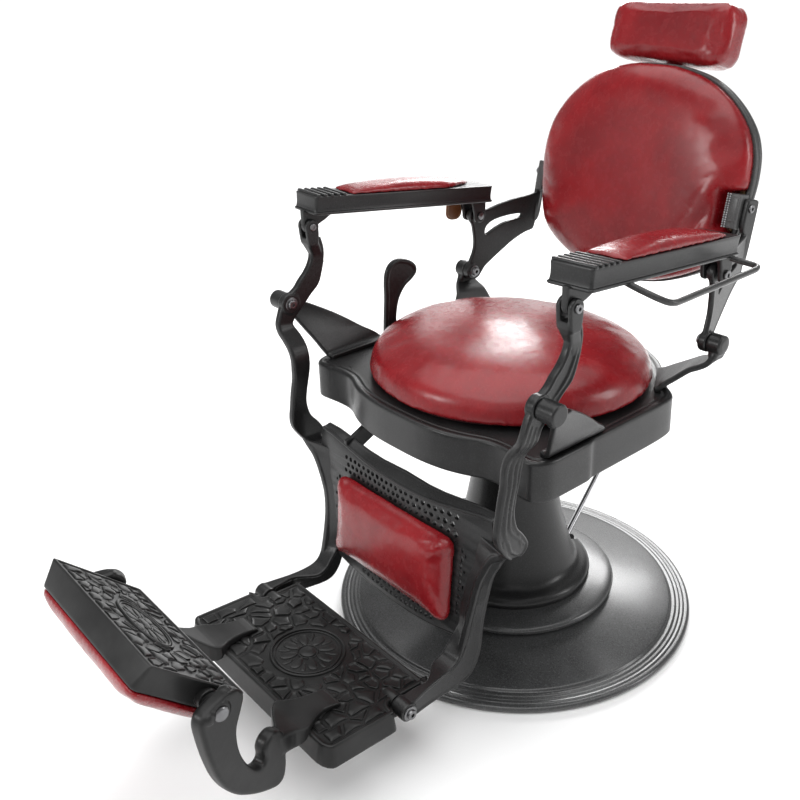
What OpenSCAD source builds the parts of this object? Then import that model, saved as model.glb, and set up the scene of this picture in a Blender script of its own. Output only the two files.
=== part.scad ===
// Hydraulic barber chair: round base, pump column, swivelling seat frame, and a
// reclining linkage of backrest, armrests and leg rest with a folding footrest.
// Millimetres. Origin: centre of the base on the floor. +Z up, the chair faces -Y,
// +X is the sitter's left.

/* [Base] */
// Radius of the base plate
base_r = 350; // [345:1:355]
// Radius of the ring at the foot of the pump cover
flange_r = 200; // [196:1:204]
// Height of the top of the pump cover
cover_top = 424; // [422:1:426]

/* [Seat] */
// Radius of the round seat cushion
seat_r = 250; // [240:1:252]
// Height of the top face of the seat frame
frame_z = 504.5; // [504:0.5:505]
// Depth of the seat frame's skirt
skirt_h = 68; // [60:1:70]
// Height of the crown of the seat cushion above the frame
seat_h = 81; // [74:1:90]

/* [Backrest] */
// Lean of the backrest from upright
back_tilt = 11; // [10:0.5:12]
// Depth of the crowned back cushion
back_pad_d = 46; // [30:1:52]

/* [Headrest] */
// Width of the headrest
head_w = 250; // [200:1:270]
// Height of the headrest
head_h = 98; // [80:1:99]

/* [Armrests] */
// Width of an armrest
arm_w = 72; // [70:1:76]
// Crown of an armrest pad
arm_pad_h = 10; // [8:1:16]

/* [Footrest] */
// Half of the width of the footrest plate
foot_w = 204; // [200:1:206]
// Crown of the cushion under the flip-over rest
flip_pad_h = 34; // [20:1:38]

/* [Hidden] */
$fn = 64;

casting = [0.22, 0.22, 0.22];
leather = [0.5, 0.08, 0.1];
steel = [0.75, 0.75, 0.77];
black = [0.08, 0.08, 0.08];
brass = [0.75, 0.6, 0.3];

// pivot axes, all along X: [y, z]
knee = [-277, 619];
hip = [165, 582];
arm_f = [-220, 751];
arm_b = [170, 700];
foot_ax = [-455, 117];
flip_ax = [-757, 304];
foot_tilt = 4;
flip_tilt = 45;
pin_gap = 0.05;

// closed smooth curve through hand-placed points, n steps between each pair
function cr1(a, b, c, d, t) = 0.5 * (2*b + (c - a)*t + (2*a - 5*b + 4*c - d)*t*t + (3*b - a - 3*c + d)*t*t*t);
function smooth(p, n) = [for (i = [0:len(p) - 1], k = [0:n - 1])
  cr1(p[(i + len(p) - 1) % len(p)], p[i], p[(i + 1) % len(p)], p[(i + 2) % len(p)], k/n)];
// half outline with x >= 0, mirrored to a closed outline
function both(h) = concat(h, [for (i = [len(h) - 2:-1:1]) [-h[i][0], h[i][1]]]);
function scaled(p, sx, sy, c = [0, 0]) = [for (q = p) [c[0] + (q[0] - c[0])*sx, c[1] + (q[1] - c[1])*sy]];

// a flat outline given as [y, z] points, extruded along X from x0 to x1
module along_x(x0, x1, pts) {
  translate([x0, 0, 0]) rotate([90, 0, 90]) linear_extrude(height = x1 - x0) polygon(pts);
}
module rod_x(x0, x1, r, at) { translate([x0, at[0], at[1]]) rotate([0, 90, 0]) cylinder(r = r, h = x1 - x0); }
module mirrored(side) { if (side > 0) children(); else mirror([1, 0, 0]) children(); }
module block(lo, hi) { translate(lo) cube(hi - lo); }

// ---------------------------------------------------------------- base and pump
module floor_ring() color(black) {
  difference() { cylinder(r = base_r - 8, h = 4, $fn = 128); translate([0, 0, -1]) cylinder(r = base_r - 30, h = 6, $fn = 128); }
  cylinder(r = 38, h = 32); // pad under the middle of the base
}

module base_plate() color(casting) difference() {
  rotate_extrude($fn = 160) polygon([
    [0, 42], [188, 42], [230, 35], [270, 28.5], [300, 23], [311, 20.5], [313, 17.5], [316, 16], [322, 16.4],
    [325, 15], [328, 15.4], [332, 14.4], [335, 14.9], [base_r - 11, 13.6], [base_r - 6, 14], [base_r - 2, 12.4],
    [base_r, 9], [base_r, 6.5], [base_r - 2, 4], [318, 4], [311, 8], [186, 32], [0, 32]]);
  for (a = [45:90:359]) rotate([0, 0, a]) translate([52, 0, 30]) cylinder(r = 5.2, h = 14);
}

module base_screws() color(steel)
  for (a = [45:90:359]) rotate([0, 0, a]) translate([52, 0, 0]) { translate([0, 0, 24]) cylinder(r = 9, h = 8); translate([0, 0, 31.9]) cylinder(r = 5, h = 17); }

module cover_flange() color(casting) rotate_extrude($fn = 128) polygon([
  [139, 42.2], [192, 42.2], [194, 44], [197, 46], [flange_r, 50], [flange_r + 0.5, 54], [flange_r - 1, 58], [flange_r - 5, 61],
  [186, 63], [170, 65.4], [156, 67], [150.8, 66.6], [150.6, 60], [139, 60]]);

module pump_cover() color(casting) difference() {
  rotate_extrude($fn = 128) polygon([
    [139, 60.3], [150, 60.3], [150.2, 67], [152.5, 70], [153.5, 75], [152.5, 80], [149, 85], [143, 89], [135, 92], [128, 95.5],
    [123.5, 101], [120.5, 109], [117, 120], [108, 150], [101, 176], [94, 206], [88.5, 232], [82.5, 262], [78, 300],
    [75, 340], [73.5, 380], [73, 418], [71, cover_top], [38, cover_top], [38, cover_top - 6], [66, cover_top - 6],
    [67.5, 380], [69, 340], [72, 300], [76.5, 262], [82.5, 232], [88, 206], [95, 176], [102, 150], [111, 120],
    [116, 102], [122, 92], [132, 86], [142, 82], [146, 76], [144, 68], [139, 66]]);
  block([36, 88, 62], [54, 170, 168]);
}

module reservoir() color(steel) difference() {
  translate([0, 0, 54]) cylinder(r = 62, h = 250);
  translate([0, 0, 53]) cylinder(r = 57, h = 252);
}

module pump_cylinder() color(casting) difference() {
  union() {
    translate([0, 0, 42.2]) cylinder(r = 66, h = 11.7);
    translate([0, 0, 42.2]) cylinder(r = 44, h = 361);
    translate([0, 0, 304.1]) cylinder(r = 62, h = 8);
    block([24, 50, 42.2], [66, 122, 53.9]);
    block([24, 77, 42.2], [33, 99, 84]);
    block([57, 77, 42.2], [66, 99, 84]);
    translate([45, 108, 42.2]) cylinder(r = 12, h = 17.8);
  }
  translate([0, 0, 56]) cylinder(r = 34, h = 360);
  for (a = [135:90:359]) rotate([0, 0, a]) translate([52, 0, 40]) cylinder(r = 5.1, h = 20);
  rotate([0, 0, 45]) translate([52, 0, 40]) cylinder(r = 5.1, h = 20);
  translate([45, 108, 46]) cylinder(r = 6.05, h = 20);
  rod_x(23, 67, 4, [88, 73]);
}

module guide_bush() color(brass) difference() {
  translate([0, 0, 372]) cylinder(r = 34, h = 38);
  translate([0, 0, 371]) cylinder(r = 28.05, h = 40);
}

module lever_pin() color(steel) union() { rod_x(23.5, 66.5, 4, [88, 73]); rod_x(66.5, 69, 6.5, [88, 73]); }

// foot lever: pivots on lever_pin, rises to the rear at 50 degrees
module pump_lever() color(steel) translate([45, 88, 73]) difference() {
  union() {
    translate([-10.5, 0, 0]) rotate([0, 90, 0]) cylinder(r = 9.5, h = 21);
    rotate([-40, 0, 0]) cylinder(r = 5.5, h = 262);
    translate([-46, 168.4, 200.7]) rotate([0, 90, 0]) cylinder(r = 6, h = 92);
  }
  translate([-12, 0, 0]) rotate([0, 90, 0]) cylinder(r = 4 + pin_gap, h = 24);
}
module pedal_rubber() color(black) for (x0 = [2, 54]) difference() {
  rod_x(x0, x0 + 34, 12, [256.4, 273.7]);
  rod_x(x0 - 1, x0 + 35, 6, [256.4, 273.7]);
}

module pump_plunger() color(steel) {
  translate([45, 108, 53.8]) cylinder(r = 6, h = 26.7);
  translate([45, 108, 74]) cylinder(r = 8.4, h = 1.2);
}
// compression spring round the plunger: round wire on a helix
module plunger_spring() color(steel) {
  turns = 4.5; n = 48; r = 0.6;
  pts = [for (i = [0:n], k = [0:7]) let (a = 360*turns*i/n, R = 7.5 + r*cos(45*k)) [45 + R*cos(a), 108 + R*sin(a), 60.9 + 12.2*i/n + r*sin(45*k)]];
  polyhedron(points = pts, faces = concat([[for (k = [0:7]) k]], [[for (k = [7:-1:0]) n*8 + k]],
    [for (i = [0:n - 1], k = [0:7]) [i*8 + k, (i + 1)*8 + k, (i + 1)*8 + (k + 1) % 8, i*8 + (k + 1) % 8]]));
}

module ram() color(steel) difference() {
  union() {
    translate([0, 0, 62]) cylinder(r = 33.95, h = 30);
    translate([0, 0, 62]) cylinder(r = 28, h = 366);
    translate([0, 0, 427]) cylinder(r = 22, h = 51);
  }
  difference() { translate([0, 0, 74]) cylinder(r = 36, h = 6); translate([0, 0, 73]) cylinder(r = 30, h = 8); }
}
module piston_seal() color(black) difference() {
  translate([0, 0, 74]) cylinder(r = 33.96, h = 6); translate([0, 0, 73]) cylinder(r = 30, h = 8);
}
module thrust_bearing() color(steel) difference() {
  translate([0, 0, 428]) cylinder(r = 38, h = 5.8); translate([0, 0, 427]) cylinder(r = 22.05, h = 8);
}

// ---------------------------------------------------------------- seat
module swivel_hub() color(casting) difference() {
  union() {
    translate([0, 0, 433.9]) cylinder(r = 46, h = 62);
    for (a = [45:90:359]) rotate([0, 0, a]) { block([30, -25, 484], [235, 25, 496]); block([30, -5, 452], [160, 5, 485]); }
  }
  translate([0, 0, 433]) cylinder(r = 22.05, h = 47);
  for (a = [45:90:359]) rotate([0, 0, a]) translate([215, 0, 480]) cylinder(r = 5, h = 20);
}

frame_half = [[0, -284], [50, -283], [100, -276], [140, -263], [163, -252], [184, -246], [215, -246], [250, -250], [264, -250],
  [274, -244], [278, -232], [282, -185], [284, -100], [284, 0], [283, 50], [279, 85], [262, 108], [240, 124],
  [215, 152], [180, 190], [140, 218], [90, 242], [45, 253], [0, 257]];
frame_outline = both(frame_half);
module seat_frame() color(casting) difference() {
  translate([0, 0, frame_z - skirt_h]) linear_extrude(height = skirt_h) polygon(frame_outline);
  translate([0, 0, frame_z - skirt_h - 1]) linear_extrude(height = skirt_h + 1 - 8.4) polygon(scaled(frame_outline, 0.968, 0.966, [0, -14]));
  rod_x(-300, -260, 8.05, [-48, 470]);
}

module cushion_board() color([0.7, 0.55, 0.35]) translate([0, -16, frame_z + 0.1]) cylinder(r = seat_r - 16, h = 4.8, $fn = 96);

module seat_cushion() color(leather) translate([0, -16, frame_z + 5]) rotate_extrude($fn = 96) polygon([
  [0, 0], [seat_r - 14, 0], [seat_r - 6, 2], [seat_r - 1, 8], [seat_r, 15], [seat_r - 1.5, 23], [seat_r - 6, 33], [seat_r - 16, 43],
  [seat_r - 34, 52], [190, seat_h - 21.5], [150, seat_h - 14.5], [100, seat_h - 9], [50, seat_h - 6], [0, seat_h - 5]]);

// bracket from the frame's side edge out and up to the knee pivot
module front_bracket(s) color(casting) mirrored(s) difference() {
  union() {
    hull() { block([256, -222, frame_z + 0.1], [282, -96, frame_z + 7]); block([270, -226, frame_z + 16], [284, -118, frame_z + 22]); }
    hull() { block([270, -226, frame_z + 16], [284, -118, frame_z + 22]); block([292, -244, frame_z + 44], [304, -176, frame_z + 52]); }
    hull() { block([292, -244, frame_z + 44], [304, -176, frame_z + 52]); block([316, -268, frame_z + 74], [328, -224, frame_z + 84]); }
    hull() { block([316, -268, frame_z + 74], [328, -224, frame_z + 84]); rod_x(330, 344, 17, knee); }
    rod_x(311, 344, 17, knee);
  }
  rod_x(300, 340, 8, knee);
}
// bracket from the frame's rear corner out and up to the hip pivot
module rear_plate(x, y, z, a, w, d, t) { translate([x, y, z]) rotate([0, 0, a]) translate([-w/2, -d/2, 0]) cube([w, d, t]); }
module rear_bracket(s) color(casting) mirrored(s) difference() {
  union() {
    hull() { rear_plate(224, 114, frame_z + 0.1, 33, 24, 88, 6); rear_plate(240, 122, frame_z + 12, 25, 14, 78, 5); }
    hull() { rear_plate(240, 122, frame_z + 12, 25, 14, 78, 5); rear_plate(272, 142, frame_z + 35, 14, 14, 52, 5); }
    hull() { rear_plate(272, 142, frame_z + 35, 14, 14, 52, 5); rear_plate(300, 156, frame_z + 46, 4, 14, 40, 6); }
    hull() { rear_plate(300, 156, frame_z + 46, 4, 14, 40, 6); rod_x(291, 315, 17, hip); }
    rod_x(289.6, 315, 17, hip);
  }
  rod_x(280, 312, 8, hip);
}

module pivot_pins() color(steel) for (s = [1, -1]) mirrored(s) {
  rod_x(295, 339, 8, knee);
  rod_x(291, 295, 10, knee);
  rod_x(271.6, 311, 8, hip);
  rod_x(268.6, 271.6, 10, hip);
}

// clamp under the frame that grips the lock rod; the lever's shaft runs in it
module lock_block() color(casting) difference() {
  block([-176, -80, 396], [-124, -14, 496]);
  translate([-150, -110, 410]) rotate([-90, 0, 0]) cylinder(r = 8.05, h = 120);
  rod_x(-180, -120, 8.05, [-48, 470]);
}
module lock_rod() color(steel) {
  translate([-150, -180, 410]) rotate([-90, 0, 0]) cylinder(r = 8, h = 322);
  difference() { block([-162, -222, 400], [-138, -176, 420]); block([-155, -223, 399], [-145, -186, 421]); }
  rod_x(-161.9, -138.1, 4, [-208, 410]);
}
module recline_lever() color(casting) {
  rod_x(-296, -123, 8, [-48, 470]);
  along_x(-298, -287.5, smooth([[-62, 462], [-48, 454], [-34, 462], [-32, 490], [-37, 525], [-32, 556], [-24, 574], [-10, 590], [8, 600],
      [20, 612], [18, 627], [2, 640], [-22, 648], [-42, 645], [-55, 632], [-61, 610], [-62, 575], [-66, 530], [-68, 490]], 3));
  rod_x(-301, -298, 13, [-48, 470]);
}

// ---------------------------------------------------------------- leg rest
// upper limb beside the armrest and the knee, lower limb further in, in front of the seat frame's corner
crank_pts = [[-228, 722], [-217, 700], [-219, 684], [-228, 668], [-241, 654], [-256, 642], [-274, 630], [-293, 616], [-304, 600], [-309, 584],
  [-308, 570], [-298, 562], [-280, 562], [-272, 572], [-277, 583], [-262, 596],
  [-246, 612], [-232, 626], [-214, 640], [-204, 660], [-196, 684], [-194, 706], [-198, 728], [-212, 736], [-224, 734]];
shin_pts = [[-306, 528], [-307, 506], [-308, 487], [-314, 460], [-318, 436], [-322, 411], [-319, 392], [-309, 374], [-296, 358], [-283, 349], [-267, 347],
  [-256, 354], [-253, 368], [-262, 388], [-279, 408], [-285, 436], [-282, 460], [-275, 487], [-271, 506], [-270, 528], [-280, 536], [-296, 536]];
// strap down to the foot: [outer x, front y, rear y, z] from the crank to the bend
strap_at = [[235, -299, -264, 347], [209, -301, -266, 270], [201, -311, -274, 211], [198, -326, -279, 143], [204, -350, -318, 92]];
foot_run = [[-340, 131], [-380, 131], [-430, 131], [-455, 132.5], [-467, 127], [-470, 116], [-464, 105], [-452, 101], [-400, 98], [-340, 92], [-326, 92]];
module leg_side(s) color(casting) mirrored(s) difference() {
  union() {
    along_x(296.5, 310.5, smooth(crank_pts, 2));
    rod_x(295.2, 310.8, 20, knee);
    block([290, -232, 712], [319, -208, 733]);
    for (x0 = [290, 311.4]) { rod_x(x0, x0 + 7.6, 14, arm_f); block([x0, -232, 730], [x0 + 7.6, -208, 751]); }
    hull() { block([296.5, -308, 568], [310.5, -273, 590]); block([259, -306, 508], [273, -271, 530]); }
    along_x(259, 273, smooth(shin_pts, 2));
    // step from the lower limb in to the strap
    hull() { block([259, -300, 356], [273, -262, 384]); block([223, -299, 346], [236, -264, 372]); }
    // strap, leaning in towards the foot
    for (i = [0:2]) hull() for (q = [strap_at[i], strap_at[i + 1]]) block([q[0] - 13, q[1], q[3] - 0.5], [q[0], q[2], q[3] + 0.5]);
    hull() { block([185, -326, 142.5], [198, -279, 143.5]); block([184, -362, 92], [200, -306, 131]); }
    along_x(184, 214, foot_run);
  }
  rod_x(280, 320, 8 + pin_gap, knee);
  rod_x(280, 330, 4, arm_f);
  rod_x(180, 220, 6, foot_ax);
}

// panel outline in its own leaning plane: [x, height above the foot]
panel_half = [[0, -164], [60, -161], [110, -154], [150, -145], [180, -140], [183.8, -126], [186.8, -89.6], [194.8, -30.2], [220.6, 47.3], [222, 52],
  [222, 101], [190, 101], [130, 98], [80, 94], [0, 92]];
module leg_plane() translate([0, -290, 300]) rotate([-6.5, 0, 0]) rotate([90, 0, 0]) children();
module leg_panel() color(casting) difference() {
  union() {
    leg_plane() translate([0, 0, -4]) linear_extrude(height = 7) polygon(both(panel_half));
    // arm that drives the lock rod, with a slot for its cross pin
    along_x(-154.6, -145.4, [[-284, 396], [-281, 366], [-262, 366], [-222, 384], [-203, 391], [-197, 398], [-203, 424], [-210, 431], [-219, 429], [-236, 414], [-270, 398]]);
  }
  // slot along the line from the knee axis to the cross pin
  translate([-150, knee[0], knee[1]]) rotate([18.27, 0, 0]) {
    for (r = [206.5, 223.5]) translate([-6, 0, -r]) rotate([0, 90, 0]) cylinder(r = 5.6, h = 12);
    block([-6, -5.6, -223.5], [6, 5.6, -206.5]);
  }
  for (x = [-100, 100], z = [-90, 0]) leg_plane() translate([x, z, -10]) cylinder(r = 3.2, h = 20);
}
module leg_pad() color(leather) leg_plane() {
  hull() for (x = [-124, 124], z = [-98, 6]) translate([x, z, 3.4]) { cylinder(r = 30, h = 14, $fn = 32); cylinder(r = 18, h = 28, $fn = 32); }
}
module footrest_pins() color(steel) for (s = [1, -1]) mirrored(s) { rod_x(160, 214, 6, foot_ax); rod_x(214, 217, 9, foot_ax); }

// ---------------------------------------------------------------- footrest
module foot_frame() translate([0, -394, 123.5]) rotate([-foot_tilt, 0, 0]) children();
plate_half = [[0, 0], [180.5, 0], [180.5, -92], [foot_w, -92], [foot_w, -188], [190, -203], [168, -211], [0, -211]];
skirt_half = [[0, 0], [180.5, 0], [180.5, -90], [foot_w + 9, -90], [foot_w + 9, -194], [196, -211], [170, -219], [0, -219]];
module footrest_plate() color(black) difference() {
  union() {
    foot_frame() difference() {
      union() {
        translate([0, 0, -14]) linear_extrude(height = 14) polygon(both(plate_half));
        translate([0, 0, -40]) linear_extrude(height = 26) polygon(both(skirt_half));
      }
      translate([0, 0, -41]) linear_extrude(height = 32) polygon(scaled(both(plate_half), 0.955, 0.9, [0, -105]));
    }
    for (s = [1, -1]) mirrored(s) rod_x(156, 182.6, 14, foot_ax);
  }
  for (s = [1, -1]) mirrored(s) rod_x(154, 184, 6 + pin_gap, foot_ax);
}
// J-shaped hook: flat bar on the plate, U-shaped neck, and the eye that carries the flip-over rest
hook_pts = [[-4, 172], [-3, 140], [0, 112], [8, 94], [22, 90], [40, 98], [62, 112], [82, 128], [100, 146], [116, 170], [128, 200], [136, 235], [141, 270],
  [143, 298], [140, 311], [130, 319], [104, 322], [82, 320], [68, 312], [62, 298], [70, 280], [82, 258], [85, 236], [83, 212], [76, 188], [66, 168], [56, 156],
  [46, 153], [40, 160], [40, 174], [30, 186], [12, 188]];
module hook_side(s) color(black) mirrored(s) difference() {
  union() {
    translate([155, -657, 0]) rotate([0, 0, 16.5]) along_x(-12, 12, [for (p = smooth(hook_pts, 2)) [-p[0], p[1]]]);
    rod_x(167.2, 197, 17, flip_ax);
    hull() { foot_frame() block([93, -150, 0.2], [152, -142, 8]); foot_frame() block([94, -232, 0.2], [156, -222, 20]); }
    hull() { foot_frame() block([94, -232, 0.2], [156, -222, 20]); block([140, -662, 138], [166, -650, 166]); }
  }
  rod_x(150, 210, 7, flip_ax);
}
module flip_frame() translate([0, flip_ax[0], flip_ax[1]]) rotate([-flip_tilt, 0, 0]) children();
module flip_tray() color(black) difference() {
  union() {
    flip_frame() difference() {
      union() {
        translate([0, 0, 4]) linear_extrude(height = 17) polygon(both([[0, 58], [157, 58], [160, 55], [160, -108], [156, -112], [0, -112]]));
        translate([0, 0, -20]) linear_extrude(height = 25) polygon(both([[0, 57], [148, 57], [155, 50], [155, -104], [148, -111], [0, -111]]));
      }
      translate([0, 0, -21]) linear_extrude(height = 33) polygon(both([[0, 50], [146, 50], [152, 44], [152, -86], [146, -94], [0, -94]]));
    }
    for (s = [1, -1]) mirrored(s) rod_x(140, 165.8, 16, flip_ax);
  }
  rod_x(-170, 170, 7 + pin_gap, flip_ax);
}
module flip_cushion() color(leather) flip_frame() translate([0, -22, 0])
  hull() { translate([0, 0, -20.5]) block([-150, -70, -0.5], [150, 70, 0]); translate([0, 0, -20.5 - flip_pad_h]) block([-112, -38, 0], [112, 38, 1]);
    translate([0, 0, -36]) block([-146, -66, 0], [146, 66, 1]); }
module flip_screws() color(steel) for (s = [1, -1]) mirrored(s) { rod_x(142, 197, 7, flip_ax); rod_x(197, 201, 11, flip_ax); }

// ---------------------------------------------------------------- backrest
side_pts = [[149, 590], [157, 606], [165, 625], [167, 645], [165, 665], [162, 680], [155, 692], [154, 704], [160, 714], [172, 718], [184, 712], [197, 707],
  [227, 714], [263, 720], [300, 723], [322, 727], [328, 724], [326, 710], [318, 676], [313, 656], [308, 649], [290, 645], [262, 633], [236, 617],
  [212, 601], [194, 588], [185, 577], [177, 567], [165, 563], [153, 569], [147, 580]];
slot_pts = [[193, 655], [200, 657], [218, 666], [240, 674], [262, 677], [279, 680], [278, 687], [254, 688], [230, 686], [208, 681], [194, 670]];
side_yaw = 14.5;
screw_at = [-8, -134]; // depth and height of the tab's screw in the backrest's own plane
module back_side(s) color(casting) mirrored(s) difference() {
  union() {
    translate([274.3, 165, 0]) rotate([0, 0, side_yaw]) translate([0, -165, 0]) difference() {
      along_x(0, 10, smooth(side_pts, 2));
      along_x(-1, 11, smooth(slot_pts, 2));
    }
    // tab along the side of the shell
    back_frame() along_x(236, 246, [[-19, -172], [-19, -122], [-15, -117], [12, -119], [17, -123], [17, -216], [13, -232], [3, -240], [-2, -232], [1, -200], [0, -184]]);
    rod_x(273.5, 289, 18, hip);
    rod_x(272.5, 287, 15, arm_b);
  }
  rod_x(260, 300, 8 + pin_gap, hip);
  rod_x(260, 300, 5, arm_b);
  back_frame() translate([180, screw_at[0], screw_at[1]]) rotate([0, 90, 0]) cylinder(r = 4, h = 100);
}

module back_frame() translate([0, 350, 900]) rotate([-back_tilt, 0, 0]) children();
back_half = [[0, 91], [40, 90], [80, 83], [115, 72], [148, 54], [178, 30], [200, 6], [215, -17], [226, -48], [230, -85], [229, -118],
  [225, -150], [218, -185], [208, -214], [192, -238], [165, -258], [130, -276], [90, -291], [45, -300], [0, -303]];
module back_slab(d0, d1, k) { // slab between two depths behind the rim plane
  translate([0, d1, 0]) rotate([90, 0, 0]) linear_extrude(height = d1 - d0) polygon(scaled(both(back_half), k, k, [0, -106]));
}
module back_shell() color(casting) back_frame() difference() {
  back_slab(0, 26, 1.02);
  back_slab(-1, 21, 0.985);
  for (x = [-14, 14], z = [-40, 10]) translate([x, 20, z]) rotate([-90, 0, 0]) cylinder(r = 3.1, h = 8);
}
module back_board() color([0.7, 0.55, 0.35]) back_frame() back_slab(6, 18, 0.965);
module back_cushion() color(leather) back_frame() hull() {
  back_slab(0.5, 5.5, 0.965);
  back_slab(-14, -13, 0.96);
  back_slab(-32, -31, 0.83);
  back_slab(-back_pad_d, 1 - back_pad_d, 0.55);
}
// strips along the sides of the shell that carry the side castings
module back_clamps() color(casting) for (s = [1, -1]) mirrored(s) difference() {
  back_frame() block([205, -30, -171], [235.6, 22, -112]);
  back_frame() back_slab(-60, 27, 1.024);
  back_frame() translate([200, screw_at[0], screw_at[1]]) rotate([0, 90, 0]) cylinder(r = 4, h = 60);
}
// screws through the side castings into the strips, and the armrests' rear hinge pins
module back_screws() color(steel) for (s = [1, -1]) mirrored(s) {
  back_frame() translate([228, screw_at[0], screw_at[1]]) rotate([0, 90, 0]) { cylinder(r = 4, h = 18.2); translate([0, 0, 18.1]) cylinder(r = 7.5, h = 4); }
  rod_x(256, 302, 5, arm_b);
  rod_x(302, 304.5, 8, arm_b);
}

module headrest_socket() color(casting) back_frame() difference() {
  block([-26, 26.2, -80], [26, 50, 60]);
  block([-16.05, 33.95, -81], [16.05, 42.05, 61]);
  translate([0, 40, 20]) rotate([-90, 0, 0]) cylinder(r = 5.05, h = 20);
}
module headrest_knob() color(black) back_frame() translate([0, 42.3, 20]) rotate([-90, 0, 0]) {
  cylinder(r = 5, h = 16);
  difference() { translate([0, 0, 8]) cylinder(r = 20, h = 18); for (a = [0:60:359]) rotate([0, 0, a]) translate([23, 0, 7]) cylinder(r = 7, h = 20); }
}
module headrest_post() color(steel) back_frame() difference() {
  union() {
    along_x(-16, 16, [[34, -150], [42, -150], [42, 70], [92, 109], [92, 144], [84, 144], [84, 113], [34, 74]]);
    translate([-15.5, 88, 146]) rotate([0, 90, 0]) cylinder(r = 9, h = 31);
  }
  translate([-17, 88, 146]) rotate([0, 90, 0]) cylinder(r = 4 + pin_gap, h = 34);
}
module head_frame() back_frame() translate([0, 36, 146]) rotate([-4, 0, 0]) children();
module headrest_shell() color(casting) {
  head_frame() block([-100, 34.2, -38], [100, 38, 38]);
  for (x0 = [-26, 17.2]) difference() {
    union() { back_frame() translate([x0, 88, 146]) rotate([0, 90, 0]) cylinder(r = 9, h = 8.8); back_frame() block([x0, 73, 138], [x0 + 8.8, 88, 154]); }
    back_frame() translate([x0 - 1, 88, 146]) rotate([0, 90, 0]) cylinder(r = 4, h = 12);
  }
  back_frame() translate([-27, 88, 146]) rotate([0, 90, 0]) cylinder(r = 4, h = 54);
}
module headrest_cushion() color(leather) head_frame() hull() {
  for (s = [-1, 1]) {
    translate([s*(head_w/2 - 22), 0, 4]) rotate([0, 90, 0]) translate([0, 4, 0]) scale([1, 0.62, 1]) cylinder(r = head_h/2 - 6, h = 1, center = true, $fn = 32);
    translate([s*(head_w/2 - 4), 6, 2]) rotate([0, 90, 0]) scale([1, 0.6, 1]) cylinder(r = head_h/2 - 22, h = 1, center = true, $fn = 32);
  }
  block([-head_w/2 + 40, -30, -head_h/2 + 14], [head_w/2 - 40, 34, head_h/2 - 14]);
  block([-head_w/2 + 40, -14, -head_h/2], [head_w/2 - 40, 22, head_h/2]);
}

// ---------------------------------------------------------------- armrests
module arm_frame() translate([304.4, -220.6, 809.4]) rotate([0, 0, 4.55]) rotate([-6.54, 0, 0]) children();
module armrest(s) color(casting) mirrored(s) arm_frame() difference() {
  block([-arm_w/2, 0, -23], [arm_w/2, 410, 0]);
  for (i = [0:4]) block([-arm_w/2 - 1, 6 + 13*i, -5], [arm_w/2 + 1, 13.5 + 13*i, 1]);
  block([-arm_w/2 + 6, 84, -24], [arm_w/2 - 6, 390, -7]);
}
module arm_plate(s) color(casting) mirrored(s) difference() {
  union() {
    arm_frame() block([-arm_w/2 - 2, -2, -28], [arm_w/2 + 2, 412, -23.1]);
    // front tongue with its gusset, in the fork of the crank
    along_x(298.5, 310.5, [[-232, 784], [-232, 762], [-233, 751], [-229, 742], [-220, 738.5], [-211, 741], [-200, 752], [-184, 766], [-150, 777]]);
    // rear fork
    for (x = [[259.5, 267.6], [291.8, 300.4]]) along_x(x[0], x[1], [[146, 745], [148, 720], [154, 706], [157, 692], [163, 687], [170, 685.5], [178, 687.5], [184, 694], [186, 708], [186, 738]]);
  }
  rod_x(290, 320, 4 + 2.7, arm_f);
  rod_x(255, 305, 5 + pin_gap, arm_b);
}
module arm_pad(s) color(leather) mirrored(s) arm_frame() hull() {
  block([-arm_w/2 + 2, 80, 0.2], [arm_w/2 - 2, 360, 3]);
  block([-8, 376, 0.2], [arm_w/2 - 4, 384, 1.4]);
  block([-arm_w/2 + 12, 130, 3], [arm_w/2 - 12, 320, arm_pad_h*0.8]);
  block([-arm_w/2 + 22, 190, 3], [arm_w/2 - 22, 280, arm_pad_h]);
}
// front pins of the armrests, fixed in the forks of the leg-rest castings
module arm_pins() color(steel) for (s = [1, -1]) mirrored(s) { rod_x(289, 320, 4, arm_f); rod_x(319, 322, 7, arm_f); }

// bar for a towel beside the left armrest: round rod bent in a wide U
bar_pts = [[26, 92, -32.8], [62, 96, -41], [86, 110, -50], [91, 130, -52], [90, 358, -38.5], [82, 380, -36.5], [32.5, 384, -32.8]];
module towel_bar() color(casting) arm_frame()
  for (i = [0:5]) hull() for (q = [bar_pts[i], bar_pts[i + 1]]) translate(q) sphere(r = 4.8, $fn = 12);
// leather tab under the rear of the right armrest
module strop_tab() color([0.55, 0.3, 0.15]) mirror([1, 0, 0]) arm_frame() block([33, 356, -70], [37, 392, -28.1]);

floor_ring();
base_plate();
base_screws();
cover_flange();
pump_cover();
reservoir();
pump_cylinder();
guide_bush();
lever_pin();
pump_lever();
pedal_rubber();
pump_plunger();
plunger_spring();
ram();
piston_seal();
thrust_bearing();
swivel_hub();
seat_frame();
cushion_board();
seat_cushion();
front_bracket(1);  // front_bracket_left
front_bracket(-1);  // front_bracket_right
rear_bracket(1);  // rear_bracket_left
rear_bracket(-1);  // rear_bracket_right
pivot_pins();
lock_block();
lock_rod();
recline_lever();
leg_side(1);  // leg_side_left
leg_side(-1);  // leg_side_right
leg_panel();
leg_pad();
footrest_pins();
footrest_plate();
hook_side(1);  // hook_left
hook_side(-1);  // hook_right
flip_tray();
flip_cushion();
flip_screws();
back_side(1);  // back_side_left
back_side(-1);  // back_side_right
back_shell();
back_board();
back_cushion();
back_clamps();
back_screws();
headrest_socket();
headrest_knob();
headrest_post();
headrest_shell();
headrest_cushion();
armrest(1);  // armrest_left
armrest(-1);  // armrest_right
arm_plate(1);  // arm_plate_left
arm_plate(-1);  // arm_plate_right
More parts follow.
